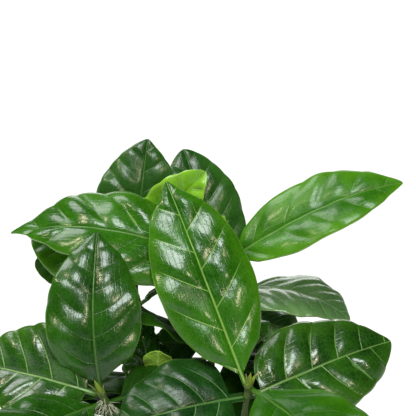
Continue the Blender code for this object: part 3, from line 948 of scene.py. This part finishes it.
def leaf_sheet(leaf, index, shares, across):
    """The plain upper face, as the solid has it."""
    petiole = PETIOLE_LENGTH / leaf.length
    blade = np.clip((shares - petiole) / (1.0 - petiole), 0.0, 1.0)
    points, normals, rights = leaf_rail(leaf, shares)
    half = 0.5 * leaf.width * blade_profile(leaf, blade, across)
    half = half + (PETIOLE_HALF * (1.0 - blade) + TIP_HALF * blade)[:, None]
    side = np.where(across < 0, 0.0, 0.37)
    turn = math.tau * (leaf.waves * blade[:, None] + side + WAVE_PHASE * index)
    wave = leaf.wave * np.sin(math.pi * blade)[:, None] * np.sin(turn) * across**2
    spread = np.minimum(1.0, blade / 0.1)[:, None]
    lift = spread * half * (leaf.fold * abs(across) - leaf.curl * across**2)
    out = rights[:, None] * (half * across)[..., None]
    raised = normals[:, None] * (lift + wave)[..., None]
    return Sheet(points[:, None] + out + raised, normals, half, blade)


def ruled_leaves():
    """The leaves that follow the stems' nodes, two opposite ones at each."""
    for pair in LOWER_PAIRS:
        for side in (0, 180):
            name = f"leaf_{pair.stem}_{round(pair.height * 1000)}_{'b' if side else 'a'}"
            where = (pair.stem, pair.height, pair.azimuth + side, pair.rise)
            size = (pair.length, PAIR_SLIMNESS * pair.length)
            yield Leaf(name, *where, 0.0, *size, bow=(0.07, 0.09), age=pair.age)


def as_bent(leaf, index):
    """The leaf swung, lifted and shortened as its plain solid is, found by the solid's box."""
    low, high = (np.array(corner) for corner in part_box(leaf.name))
    across = np.array(PLAIN_ACROSS)
    best, least = leaf, math.inf
    for shrink in SHRINKS:
        length = leaf.length * shrink
        petiole = PETIOLE_LENGTH / length
        rows = [petiole + (1.0 - petiole) * row for row in PLAIN_ROWS]
        shares = np.array([0.0, 0.55 * petiole, petiole, *rows])
        for turn in TURNS:
            for lift in LIFTS:
                azimuth, rise, width = leaf.azimuth + turn, leaf.rise + lift, leaf.width * shrink
                attempt = leaf._replace(azimuth=azimuth, rise=rise, length=length, width=width)
                sheet = leaf_sheet(attempt, index, shares, across)
                under = sheet.points - sheet.normals[:, None] * BLADE_THICK
                both = np.concatenate((sheet.points, under)).reshape(-1, 3)
                miss = abs(both.min(0) - low).sum() + abs(both.max(0) - high).sum()
                if miss < least:
                    best, least = attempt, miss
    return best


def veining(leaf, index):
    """How the leaf's side veins run; a leaf down a stem has its own small differences."""
    first = (0.05 + 0.07 * math.sin(index), 0.13 + 0.05 * math.cos(2 * index))
    usual = Veining(first=first, puff=0.65)
    return VEINING.get(leaf.name, usual)


def vein_phase(leaf, veins, sheet, across):
    """Counts each half's side veins from the foot: a whole number lies on a vein."""
    out = sheet.half * abs(across) / leaf.length
    forward = veins.slant * out + veins.hook * out**2
    share = sheet.blade[:, None] - forward
    return tuple(veins.count * (share - first) for first in veins.first)


def undulation(leaf, index, sheet, across):
    """Long soft waves over the whole blade, between about -1 and 1."""
    along = sheet.blade[:, None] * leaf.length / MILLIMETRE
    out = sheet.half * across / MILLIMETRE
    waves = 0.0
    for number, length in enumerate((31.0, 23.0, 17.0, 13.0)):
        turn = 2.4 * number + 1.7 * index
        step = (along * math.cos(turn) + out * math.sin(turn)) / length
        waves = waves + 0.35 * np.sin(math.tau * step + turn)
    return waves


def ramp(values, width):
    """0 up to 0, then straight up to 1 over a width."""
    return np.clip(values / width, 0.0, 1.0)


def relief(leaf, veins, phase, sheet, across, settings):
    """How far the upper face swells between its veins and sinks along them, in metres."""
    edge = abs(across)
    cell = np.floor(phase) + 0.5 * np.sign(across)
    pillow = 1.0 - (1.0 - abs(np.sin(math.pi * phase))) ** PILLOW_FLATNESS
    pillow = pillow * (1.0 + PILLOW_VARIETY * np.sin(2.7 * cell + leaf.height * 900.0))
    outer = 1.0 - 0.7 * ramp(edge - 0.6, 0.4) ** 2
    ends = ramp(sheet.blade, 0.1) * ramp(1.0 - sheet.blade, 0.12)
    size = settings.puff * veins.puff * math.sqrt(leaf.length / PUFF_LENGTH) * ends[:, None]
    swell = size * ramp(edge, 0.3) * outer * (pillow - PILLOW_LEVEL)
    rib = (FURROW_HALF - RIB_NARROWING * sheet.blade)[:, None]
    furrow = settings.groove * (1.0 - 0.7 * sheet.blade)[:, None]
    return swell - furrow * np.exp(-((sheet.half * edge / rib) ** 2))


def scallops(veins, phase, sheet, across):
    """How far the outline bulges between vein ends, as vectors that grow towards the margin."""
    chord = unit(sheet.points[:, -1] - sheet.points[:, 0])
    ends = ramp(sheet.blade, 0.15) * ramp(1.0 - sheet.blade, 0.15)
    bulge = veins.scallop * MILLIMETRE * (abs(np.sin(math.pi * phase)) - SINE_MEAN) * ends[:, None]
    return chord[:, None] * (bulge * np.sign(across) * abs(across) ** 3)[..., None]


def leaf_shares(leaf, step):
    """Shares of the whole length at which rows lie, from inside the node to the tip."""
    petiole = PETIOLE_LENGTH / leaf.length
    stalk = np.linspace(-PETIOLE_SUNK / leaf.length, petiole, STALK_ROWS)
    rows = max(LEAST_ROWS, round((leaf.length - PETIOLE_LENGTH) / step))
    ease = np.linspace(0.0, 1.0, rows + 1)[1:]
    blade = 0.75 * ease + 0.25 * (0.5 - 0.5 * np.cos(math.pi * ease))
    return np.concatenate((stalk, petiole + (1.0 - petiole) * blade))


def grid_faces(rows, columns):
    """Quads of a closed slab: upper face, lower face and the rim that joins them."""
    number = np.arange(rows * columns).reshape(rows, columns)
    below = rows * columns
    a, b = number[:-1, :-1], number[:-1, 1:]
    c, d = number[1:, 1:], number[1:, :-1]
    upper = np.stack((a, b, c, d), -1).reshape(-1, 4)
    lower = np.stack((d, c, b, a), -1).reshape(-1, 4) + below
    rim = []
    for line in (number[:, 0], number[::-1, -1], number[0, ::-1], number[-1]):
        near, far = line[:-1], line[1:]
        rim.append(np.stack((near, far, far + below, near + below), -1))
    return upper, lower, np.concatenate(rim)


def mesh_object(name, points, faces, materials, kinds=None):
    """A smooth mesh from rows of points and faces, with one material number for each face."""
    mesh = bpy.data.meshes.new(name)
    faces = faces if isinstance(faces, list) else faces.tolist()
    mesh.from_pydata(np.array(points).tolist(), [], faces)
    for material in materials:
        mesh.materials.append(material)
    if kinds is not None:
        mesh.polygons.foreach_set("material_index", kinds.astype(np.int32))
    mesh.shade_smooth()
    mesh.update()
    obj = bpy.data.objects.new(name, mesh)
    bpy.context.scene.collection.objects.link(obj)
    return obj


def settle(obj, node=None):
    """Hangs a piece of the plant under the root body and hides the plain solid, if any, that it
    stands for.
    """
    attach(obj, "root")
    if node:
        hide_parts(node)


def add_numbers(obj, layer, first, second):
    """A UV map of two plain numbers for each face corner."""
    pairs = np.stack(np.broadcast_arrays(first, second), -1)
    made = obj.data.uv_layers.new(name=layer)
    made.data.foreach_set("uv", pairs.astype(np.float32).ravel())


def two_faces(outline, raised, sheet, across):
    """Points of the upper face, then of the lower one, thicker along the midrib and the petiole."""
    normals = sheet.normals[:, None]
    upper = outline + normals * raised[..., None]
    rib_half = (RIB_HALF - RIB_NARROWING * sheet.blade)[:, None]
    rib = np.exp(-((sheet.half * across / rib_half) ** 2))
    stalk = 1.0 - ramp(sheet.blade, 0.05)[:, None]
    round_under = np.sqrt(np.clip(1.0 - across**2, 0.0, 1.0))
    depth = BLADE_DRAWN + rib * (RIB_DRAWN - RIB_LOSS * sheet.blade)[:, None]
    depth = depth * (1.0 - stalk) + (STALK_FLAT + STALK_ROUND * round_under) * stalk
    proud = 0.5 * raised * (1.0 - rib)
    lower = outline + normals * (proud - depth)[..., None]
    return np.concatenate((upper.reshape(-1, 3), lower.reshape(-1, 3)))


def mark_veins(obj, leaf, veins, quads, sheet, across, halves):
    """Keeps where each face corner lies on the blade and how it lies among the veins."""
    rows, columns = sheet.half.shape
    corner = quads % (rows * columns)
    column, row = corner % columns, corner // columns
    on_left = column.min(1) < columns // 2
    left, right = (half.ravel()[corner] for half in halves)
    counted = np.where(on_left[:, None], left, right)
    gap = leaf.length / veins.count / math.hypot(1.0, veins.slant) / MILLIMETRE
    out = (sheet.half * across).ravel()[corner] / MILLIMETRE
    add_numbers(obj, "blade", across[column], sheet.blade[row])
    add_numbers(obj, "veins", counted, gap)
    add_numbers(obj, "lay", out, veins.pale)


def grow_leaf(leaf, index, coarseness, materials, settings):
    """One blade with its petiole, as a closed sheet with veins on both faces."""
    shares = leaf_shares(leaf, settings.row_step * coarseness)
    wanted = round(leaf.width / (settings.column_step * coarseness))
    steps = np.linspace(-1.0, 1.0, 2 * max(4, wanted // 2) + 1)
    across = np.sign(steps) * abs(steps) ** COLUMN_CROWDING
    sheet = leaf_sheet(leaf, index, shares, across)
    veins = veining(leaf, index)
    halves = vein_phase(leaf, veins, sheet, across)
    phase = np.where(across < 0, *halves)
    raised = relief(leaf, veins, phase, sheet, across, settings)
    ends = np.sin(math.pi * sheet.blade)[:, None]
    raised = raised + settings.swell * ends * undulation(leaf, index, sheet, across)
    outline = sheet.points + scallops(veins, phase, sheet, across)
    points = two_faces(outline, raised, sheet, across)
    faces = grid_faces(*raised.shape)
    kinds = np.repeat((0, 1, 0), [len(group) for group in faces])
    quads = np.concatenate(faces)
    obj = mesh_object(f"{leaf.name}_grown", points, quads, materials, kinds)
    mark_veins(obj, leaf, veins, quads, sheet, across, halves)
    settle(obj, leaf.name)


def leaf_materials(settings):
    """The upper and lower finish for each kind of leaf."""
    return {kind: (leaf_upper(kind, settings), leaf_under(kind, settings)) for kind in LEAF_TONES}


class COFFEE_OT_grow_leaves(bpy.types.Operator):
    """Grows the leaves of the crown and the leaves down the stems"""

    bl_idname = "coffee.grow_leaves"
    bl_label = "Grow leaves"

    def execute(self, context):
        settings = context.scene.coffee_leaves
        materials = leaf_materials(settings)
        for index, leaf in enumerate(LEAVES):
            kind = OWN_TONES.get(leaf.name, leaf.age)
            grow_leaf(leaf, index, 1.0, materials[kind], settings)
        for index, leaf in enumerate(ruled_leaves(), len(LEAVES)):
            # Old leaves down the stems take the shaded copy of the finish, which is painted shade
            kind = "shaded" if leaf.age == "old" else leaf.age
            bent = as_bent(leaf, index)
            grow_leaf(bent, index, settings.lower_coarseness, materials[kind], settings)
        return {"FINISHED"}


def node_heights(name):
    """Heights of the nodes of one stem, where leaves grow."""
    return sorted({grown.height for grown in (*LEAVES, *LOWER_PAIRS) if grown.stem == name})


def node_azimuth(name, height):
    """Where the first leaf at a node points."""
    for grown in (*LEAVES, *LOWER_PAIRS):
        if grown.stem == name and grown.height == height:
            return grown.azimuth
    raise ValueError(f"no leaf on {name} at {height}")


def circle(sides):
    """Cosines and sines of equal turns."""
    turns = np.arange(sides) * math.tau / sides
    return np.cos(turns), np.sin(turns)


def tube(centres, radii, sides, ridges):
    """Points and quads of an open tube; ridges scales each ring's radius round the tube."""
    centres = np.array(centres)
    along = unit(np.gradient(centres, axis=0))
    first = unit(np.cross(along, np.array((0.0, 1.0, 0.0))))
    second = np.cross(along, first)
    cosine, sine = circle(sides)
    reach = np.array(radii)[:, None] * ridges
    ring = first[:, None] * cosine[None, :, None] + second[:, None] * sine[None, :, None]
    points = centres[:, None] + ring * reach[..., None]
    number = np.arange(len(centres) * sides).reshape(-1, sides)
    after = np.roll(number, -1, axis=1)
    quads = np.stack((number[:-1], after[:-1], after[1:], number[1:]), -1).reshape(-1, 4)
    return points.reshape(-1, 3), quads


def drawn_radius(stem, nodes, height):
    """The stem's radius with its swollen nodes, the scars under them and the tapered end bud."""
    bud = stem.tip[2] - BUD_LENGTH
    if height > bud:
        share = (height - bud) / BUD_LENGTH
        bulge = 1.0 + BUD_BULGE * math.sin(math.pi * share)
        return max(THINNEST, stem.tip_radius * bulge * max(0.0, 1.0 - share) ** 0.6)
    radius = stem_radius(stem, height)
    for node in nodes:
        swell = math.exp(-(((height - node) / NODE_HALF) ** 2))
        scar = math.exp(-(((height - node + SCAR_DROP) / SCAR_HALF) ** 2))
        radius += stem_radius(stem, node) * (NODE_PROUD * swell - SCAR_DEPTH * scar)
    return radius


def bark_ring(name, height):
    """How rough the bark is round one ring, as shares of its radius; rougher lower down."""
    woody = min(1.0, max(0.0, (WOODY_BELOW - height) / WOODY_FADE))
    shift = 90.0 * height + 7.0 * len(name)
    spots = zip(*circle(STEM_SIDES))
    rough = 0.03 + 0.07 * woody
    return [1.0 + rough * noise.noise((3.0 * x, 3.0 * y, shift)) for x, y in spots]


def grow_stem(name, bark):
    """One stem with its swollen, scarred nodes and a pointed end bud."""
    stem = STEMS[name]
    nodes = node_heights(name)
    bud = stem.tip[2] - BUD_LENGTH
    plain = np.arange(SOIL_CROWN - STEM_SUNK, bud, STEM_RING_STEP)
    heights = np.concatenate((plain, np.linspace(bud, stem.tip[2], BUD_RINGS)))
    radii = [drawn_radius(stem, nodes, height) for height in heights]
    ridges = np.array([bark_ring(name, height) for height in heights])
    centres = [stem_axis(stem, height) for height in heights]
    points, quads = tube(centres, radii, STEM_SIDES, ridges)
    count = len(points)
    ends = [tuple(range(STEM_SIDES - 1, -1, -1)), tuple(range(count - STEM_SIDES, count))]
    obj = mesh_object(f"stem_{name}_grown", points, quads.tolist() + ends, [bark])
    corners = np.array([loop.vertex_index for loop in obj.data.loops])
    share = np.clip((heights[corners // STEM_SIDES] - bud) / BUD_LENGTH, 0.0, 1.0)
    add_numbers(obj, "blade", 0.0, share)
    settle(obj, f"stem_{name}")


def scale_grid(base, up, outward, length, width, curve):
    """A small pointed, cupped scale with its back to the stem: upper points, then lower points."""
    side = up.cross(outward).normalized()
    points = []
    for sign in (1.0, -1.0):
        for share in np.linspace(0.0, 1.0, SCALE_ROWS).tolist():
            full = (1.0 - share) ** 0.8 * (0.75 + 0.9 * share * (1.0 - share))
            half = 0.5 * width * full + THINNEST
            for across in np.linspace(-1.0, 1.0, SCALE_COLUMNS).tolist():
                lean = curve * length * share**2 - 0.35 * half * across**2
                thick = sign * SCALE_THICK * (1.0 - 0.6 * abs(across))
                spot = base + up * (length * share) + side * (half * across)
                points.append(spot + outward * (lean + thick))
    return points


def grow_scales(name, skin, settings, draw):
    """The pointed scales that close each node of one stem, two between its petioles."""
    stem = STEMS[name]
    nodes = node_heights(name)
    tops = [height for height in nodes if height > nodes[-1] - TOP_PAIRS]
    grid = np.concatenate(grid_faces(SCALE_ROWS, SCALE_COLUMNS))
    count = 2 * SCALE_ROWS * SCALE_COLUMNS
    points, quads = [], []
    for height in nodes:
        fresh = height in tops
        if fresh and height != tops[-1]:
            continue
        for side in (90, -90):
            azimuth = node_azimuth(name, height) + side + draw.uniform(-14, 14)
            outward = direction(math.radians(azimuth))
            centre = stem_axis(stem, height)
            up = (stem_axis(stem, height + 0.002) - centre).normalized()
            base = centre + outward * (stem_radius(stem, height) * SCALE_OUT) - up * SCALE_SUNK
            length = settings.scale_length * draw.uniform(0.8, 1.1) * (1.5 if fresh else 0.8)
            width = (2.4 if fresh else 2.1) * stem_radius(stem, height)
            curve = draw.uniform(0.10, 0.35) * (1.4 if fresh else 1.0)
            quads.append(grid + len(points))
            points += scale_grid(base, up, outward, length, width, curve)
    quads = np.concatenate(quads)
    obj = mesh_object(f"scales_{name}", points, quads, [skin])
    row = quads % count % (count // 2) // SCALE_COLUMNS
    add_numbers(obj, "blade", 0.0, row / (SCALE_ROWS - 1))
    settle(obj)


def grow_bristles(skin, settings, draw):
    """Dry bristles that hang below the top pair of the left stem, in front."""
    stem = STEMS["left"]
    steps = np.linspace(0.0, 1.0, BRISTLE_RINGS)
    plain = np.ones((BRISTLE_RINGS, BRISTLE_SIDES))
    points, quads = [], []
    for _ in range(settings.bristles):
        outward = direction(math.radians(draw.uniform(-165, -5)))
        start = stem_axis(stem, BRISTLE_TOP - draw.uniform(0.0, BRISTLE_SPREAD))
        start += outward * stem_radius(stem, BRISTLE_TOP)
        length = settings.bristle_length * draw.uniform(0.5, 1.1)
        droop = draw.uniform(-0.3, 1.0)
        centres = []
        for share in steps:
            reach = outward * (length * 0.95 * share)
            fall = Vector((0.0, 0.0, -length * droop * share**1.5))
            centres.append((start + reach + fall)[:])
        radii = BRISTLE_RADIUS * (1.0 - 0.8 * steps)
        ring, faces = tube(centres, radii, BRISTLE_SIDES, plain)
        quads += (faces + len(points)).tolist()
        points += ring.tolist()
    settle(mesh_object("bristles_left", points, quads, [skin]))


class COFFEE_OT_grow_stems(bpy.types.Operator):
    """Grows the stems with their nodes, end buds, scales and bristles"""

    bl_idname = "coffee.grow_stems"
    bl_label = "Grow stems"

    def execute(self, context):
        settings = context.scene.coffee_stems
        bark = stem_bark(settings)
        skin = scale_skin()
        draw = random.Random(7)
        for name in STEMS:
            grow_stem(name, bark)
            grow_scales(name, skin, settings, draw)
        grow_bristles(bristle_skin(), settings, draw)
        return {"FINISHED"}


def pot_radius(height):
    """The outer wall's radius, below the rim's band."""
    return POT_BASE_RADIUS + (POT_TOP_RADIUS - POT_BASE_RADIUS) * height / POT_HEIGHT


def eased(corners, radius, steps=4):
    """A profile whose inner corners are rounded; its two end points stay."""
    points = [corners[0]]
    for before, corner, after in zip(corners, corners[1:], corners[2:]):
        spot = Vector(corner)
        back, ahead = Vector(before) - spot, Vector(after) - spot
        room = min(radius, 0.45 * back.length, 0.45 * ahead.length)
        start, end = spot + back.normalized() * room, spot + ahead.normalized() * room
        for step in range(steps + 1):
            share = step / steps
            bent = start * (1 - share) ** 2 + spot * (2 * share * (1 - share)) + end * share**2
            points.append(tuple(bent))
    points.append(corners[-1])
    return points


def ring_quads(number):
    """Quads between each ring of point numbers and the next one."""
    after = np.roll(number, -1, axis=1)
    quads = np.stack((number[:-1], number[1:], after[1:], after[:-1]), -1)
    return quads.reshape(-1, 4).tolist()


def fan(middle, ring):
    """Triangles from one point to every side of a ring."""
    return [(middle, a, b) for a, b in zip(ring.tolist(), np.roll(ring, -1).tolist())]


def turned(name, profile, sides, materials, wobble=None):
    """A profile that starts and ends on the axis, turned round Z."""
    cosine, sine = circle(sides)
    points = []
    for radius, height in profile[1:-1]:
        points += zip(radius * cosine, radius * sine, np.full(sides, height))
    points += [(0.0, 0.0, profile[0][1]), (0.0, 0.0, profile[-1][1])]
    if wobble is not None:
        points = wobble(np.array(points))
    count = len(points) - 2
    number = np.arange(count).reshape(-1, sides)
    faces = ring_quads(number)
    for near, (middle, a, b) in zip(fan(count, number[0]), fan(count + 1, number[-1])):
        faces += [near, (middle, b, a)]
    return mesh_object(name, points, faces, materials)


def drill(obj, holes):
    """Cuts upright round holes, each (x, y, low, high, radius), and keeps the cuts in the mesh."""
    for number, (x, y, low, high, radius) in enumerate(holes):
        profile = [(0.0, high), (radius, high), (radius, low), (0.0, low)]
        cutter = turned(f"cutter_{number}", profile, HOLE_SIDES, [])
        cutter.location = (x, y, 0.0)
        cut = obj.modifiers.new("hole", "BOOLEAN")
        cut.operation = "DIFFERENCE"
        cut.object = cutter
        with bpy.context.temp_override(object=obj, active_object=obj, selected_objects=[obj]):
            bpy.ops.object.modifier_apply(modifier=cut.name)
        bpy.data.objects.remove(cutter, do_unlink=True)


def mould_pot(material):
    """The tapered pot with its rim's band, faint moulding rings and drain holes."""
    band = POT_HEIGHT - RIM_HEIGHT
    top = pot_radius(POT_HEIGHT)
    rings = [(pot_radius(height) - depth, height) for height, depth in MOULD_RINGS]
    corners = [
        (0.0, POT_FLOOR),
        (pot_radius(POT_FLOOR) - POT_WALL, POT_FLOOR),
        (pot_radius(band) - POT_WALL, band),
        (top + RIM_PROUD - POT_WALL - RIM_LIP, POT_HEIGHT - RIM_LIP),
        (top + RIM_PROUD - POT_WALL, POT_HEIGHT),
        (top + RIM_PROUD + RIM_LIP, POT_HEIGHT),
        (top + RIM_PROUD + RIM_LIP, POT_HEIGHT - 2 * RIM_LIP),
        (top + RIM_PROUD, POT_HEIGHT - 2.5 * RIM_LIP),
        (pot_radius(band) + RIM_PROUD, band),
        (pot_radius(band), band - RIM_LIP),
        *rings,
        (pot_radius(RIM_LIP), RIM_LIP),
        (pot_radius(0.0) - RIM_LIP, 0.0),
        (0.0, 0.0),
    ]
    pot = turned("pot_moulded", eased(corners, EDGE_EASE), POT_SIDES, [material])
    holes = []
    for index in range(DRAIN_HOLES):
        turn = math.tau * (index + 0.5) / DRAIN_HOLES
        x, y = DRAIN_RING * math.cos(turn), DRAIN_RING * math.sin(turn)
        holes.append((x, y, -POT_FLOOR, 2 * POT_FLOOR, DRAIN_RADIUS))
    drill(pot, holes)
    settle(pot, "pot")


def soil_height(x, y):
    """The crumbly soil's level at a place in the pot."""
    radius = math.hypot(x, y)
    wall = pot_radius(SOIL_EDGE) - POT_WALL
    level = SOIL_CROWN - (SOIL_CROWN - SOIL_EDGE) * min(1.0, radius / wall) ** CROWN_FLATNESS
    spot = Vector((x * LUMPS_PER_METRE, y * LUMPS_PER_METRE, 3.1))
    return level - LUMP_SUNK + LUMP_HEIGHT * noise.fractal(spot, 0.7, 2.1, 4)


def crumbled(points):
    """Lifts the points on the soil's top into lumps."""
    points = points.copy()
    for point in points:
        if point[2] > SOIL_EDGE - 0.001:
            point[2] = soil_height(point[0], point[1])
    return points


def fill_soil(settings):
    """The soil's body with a lumpy top."""
    bottom = POT_FLOOR + SEAT_GAP
    gap = POT_WALL + SEAT_GAP
    wall = pot_radius(SOIL_EDGE) - gap
    profile = [(wall * ring / SOIL_RINGS, SOIL_CROWN) for ring in range(SOIL_RINGS + 1)]
    profile += [
        (pot_radius(SOIL_EDGE - 0.004) - gap, SOIL_EDGE - 0.004),
        (pot_radius(bottom) - gap, bottom),
        (0.0, bottom),
    ]
    crust = soil_crust("potting_soil", settings)
    settle(turned("soil_filled", profile, SOIL_SIDES, [crust], crumbled), "soil")


def crumb_shape():
    """Points and triangles of a ball with three rings between its two ends."""
    points = [(0.0, 0.0, 1.0)]
    for level, radius in ((0.5, 0.86), (-0.1, 1.0), (-0.65, 0.75)):
        for side in range(CRUMB_SIDES):
            turn = math.tau * (side + level) / CRUMB_SIDES
            points.append((radius * math.cos(turn), radius * math.sin(turn), level))
    points.append((0.0, 0.0, -1.0))
    last = len(points) - 1
    faces = []
    for side in range(CRUMB_SIDES):
        after = (side + 1) % CRUMB_SIDES
        faces.append((0, 1 + side, 1 + after))
        for row in (0, CRUMB_SIDES):
            a, b = 1 + row + side, 1 + row + after
            faces.append((a, a + CRUMB_SIDES, b + CRUMB_SIDES))
            faces.append((a, b + CRUMB_SIDES, b))
        faces.append((last, last - CRUMB_SIDES + after, last - CRUMB_SIDES + side))
    return np.array(points), np.array(faces)


def scatter_crumbs(name, count, size, material, draw, stretch=1.0):
    """Loose bits pressed into the soil, all in one mesh."""
    ball, faces = crumb_shape()
    wall = pot_radius(SOIL_EDGE) - POT_WALL - CRUMB_WALL_GAP
    points, triangles = [], []
    for number in range(count):
        radius = size * draw.uniform(0.25, 1.0) ** 1.5
        reach = (wall - radius * stretch) * math.sqrt(draw.random())
        turn = draw.uniform(0.0, math.tau)
        x, y = reach * math.cos(turn), reach * math.sin(turn)
        shift = Vector((number, 0, 0))
        rough = [[1.0 + 0.5 * noise.noise(Vector(point) * 1.7 + shift)] for point in ball]
        scale = np.array((radius * stretch, radius, radius * draw.uniform(0.5, 0.9)))
        spin = Matrix.Rotation(draw.uniform(0.0, math.tau), 3, "Z")
        tilt = Matrix.Rotation(draw.uniform(-0.5, 0.5), 3, "X")
        place = np.array((x, y, soil_height(x, y) + 0.25 * radius))
        placed = (ball * np.array(rough) * scale) @ np.array(spin @ tilt).T + place
        triangles += (faces + len(points)).tolist()
        points += placed.tolist()
    settle(mesh_object(name, points, triangles, [material]))


class COFFEE_OT_fill_pot(bpy.types.Operator):
    """Moulds the pot, fills it with soil and scatters crumbs and bark chips"""

    bl_idname = "coffee.fill_pot"
    bl_label = "Fill pot"

    def execute(self, context):
        settings = context.scene.coffee_pot
        draw = random.Random(11)
        mould_pot(pot_plastic(settings))
        fill_soil(settings)
        peat = soil_crust("peat_crumb", settings, 1.5)
        scatter_crumbs("soil_crumbs", settings.crumbs, settings.crumb_size, peat, draw)
        chip = soil_crust("bark_chip", settings, 3.2)
        scatter_crumbs("soil_chips", settings.chips, 1.2 * settings.crumb_size, chip, draw, 2.4)
        return {"FINISHED"}


def sun(name, azimuth, elevation, strength, width, colour):
    """A far soft light. Azimuth 0 is +X and -90 the front; width is how wide it looks."""
    light = bpy.data.lights.new(name, "SUN")
    light.energy = strength
    light.angle = math.radians(width)
    light.color = colour
    towards = direction(math.radians(azimuth), math.radians(elevation))
    hang(name, light, towards * SUN_DISTANCE, towards)


def hang(name, data, place, back):
    """A light or a camera at a place, with its back to a direction."""
    obj = bpy.data.objects.new(name, data)
    obj.location = place
    obj.rotation_mode = "QUATERNION"
    obj.rotation_quaternion = back.to_track_quat("Z", "Y")
    bpy.context.scene.collection.objects.link(obj)
    return obj


def lay_floor(settings):
    """A plain round floor under the pot."""
    cosine, sine = circle(FLOOR_SIDES)
    points = [(0.0, 0.0, -FLOOR_GAP)]
    for ring in range(1, FLOOR_RINGS + 1):
        radius = settings.floor_radius * (ring / FLOOR_RINGS) ** 2
        points += zip(radius * cosine, radius * sine, np.full(FLOOR_SIDES, -FLOOR_GAP))
    number = np.arange(1, len(points)).reshape(-1, FLOOR_SIDES)
    faces = fan(0, number[0]) + ring_quads(number)
    mesh_object("stage_floor", points, faces, [floor_paper(settings)])


def surround(settings):
    """White near the horizon and dark overhead, so that a leaf mirrors a pale room's walls."""
    world = bpy.context.scene.world or bpy.data.worlds.new("studio")
    bpy.context.scene.world = world
    recipe = Recipe(world)
    way = recipe.add("ShaderNodeTexCoord")["Generated"]
    level = recipe.add("ShaderNodeSeparateXYZ", (), {"Vector": way})["Z"]
    colour = recipe.blend(level.rise(0.02, 0.30), WHITE, (0.055, 0.060, 0.065))
    sockets = {"Color": colour, "Strength": settings.fill_strength}
    sky = recipe.add("ShaderNodeBackground", (), sockets)["Background"]
    recipe.add("ShaderNodeOutputWorld", (), {"Surface": sky})


class COFFEE_OT_set_stage(bpy.types.Operator):
    """Lays the floor and places the lights and the camera"""

    bl_idname = "coffee.set_stage"
    bl_label = "Set stage"

    def execute(self, context):
        settings = context.scene.coffee_stage
        lay_floor(settings)
        surround(settings)
        sun("key_light", -97.0, 54.0, settings.key_strength, 21.0, COOL_WHITE)
        sun("back_light", 160.0, 60.0, settings.back_strength, 30.0, WHITE)
        sun("low_back_light", 88.0, 22.0, 0.7, 34.0, WHITE)
        sun("warm_light_right", -70.0, 33.0, 0.60, 7.0, WARM_WHITE)
        sun("warm_light_left", -143.0, 49.0, 0.60, 7.0, WARM_WHITE)
        camera = bpy.data.cameras.new("camera")
        camera.lens = settings.lens
        camera.sensor_width = SENSOR_WIDTH
        camera.clip_end = FARTHEST_SEEN
        back = direction(-0.5 * math.pi, settings.elevation)
        place = Vector(CAMERA_AIM) + back * settings.distance
        context.scene.camera = hang("camera", camera, place, back)
        context.scene.view_settings.view_transform = "Standard"
        return {"FINISHED"}


class COFFEE_PT_panel(bpy.types.Panel):
    """Lists the steps that dress the plant, with their settings"""

    bl_idname = "COFFEE_PT_panel"
    bl_label = "Potted coffee plant"
    bl_space_type = "VIEW_3D"
    bl_region_type = "UI"
    bl_category = "Coffee plant"

    def draw(self, context):
        for operator, group, _ in STEPS:
            box = self.layout.box()
            box.operator(operator.bl_idname)
            settings = getattr(context.scene, group)
            for name in settings.bl_rna.properties.keys():
                if name not in ("rna_type", "name"):
                    box.prop(settings, name)


STEPS = (
    (COFFEE_OT_grow_leaves, "coffee_leaves", LeafSettings),
    (COFFEE_OT_grow_stems, "coffee_stems", StemSettings),
    (COFFEE_OT_fill_pot, "coffee_pot", PotSettings),
    (COFFEE_OT_set_stage, "coffee_stage", StageSettings),
)


def register():
    for operator, group, settings in STEPS:
        bpy.utils.register_class(settings)
        setattr(bpy.types.Scene, group, PointerProperty(type=settings))
        bpy.utils.register_class(operator)
    bpy.utils.register_class(COFFEE_PT_panel)


def unregister():
    bpy.utils.unregister_class(COFFEE_PT_panel)
    for operator, group, settings in reversed(STEPS):
        bpy.utils.unregister_class(operator)
        delattr(bpy.types.Scene, group)
        bpy.utils.unregister_class(settings)


def main():
    register()
    bpy.ops.coffee.grow_leaves()
    bpy.ops.coffee.grow_stems()
    bpy.ops.coffee.fill_pot()
    bpy.ops.coffee.set_stage()
    bpy.context.view_layer.update()


if __name__ == "__main__":
    main()
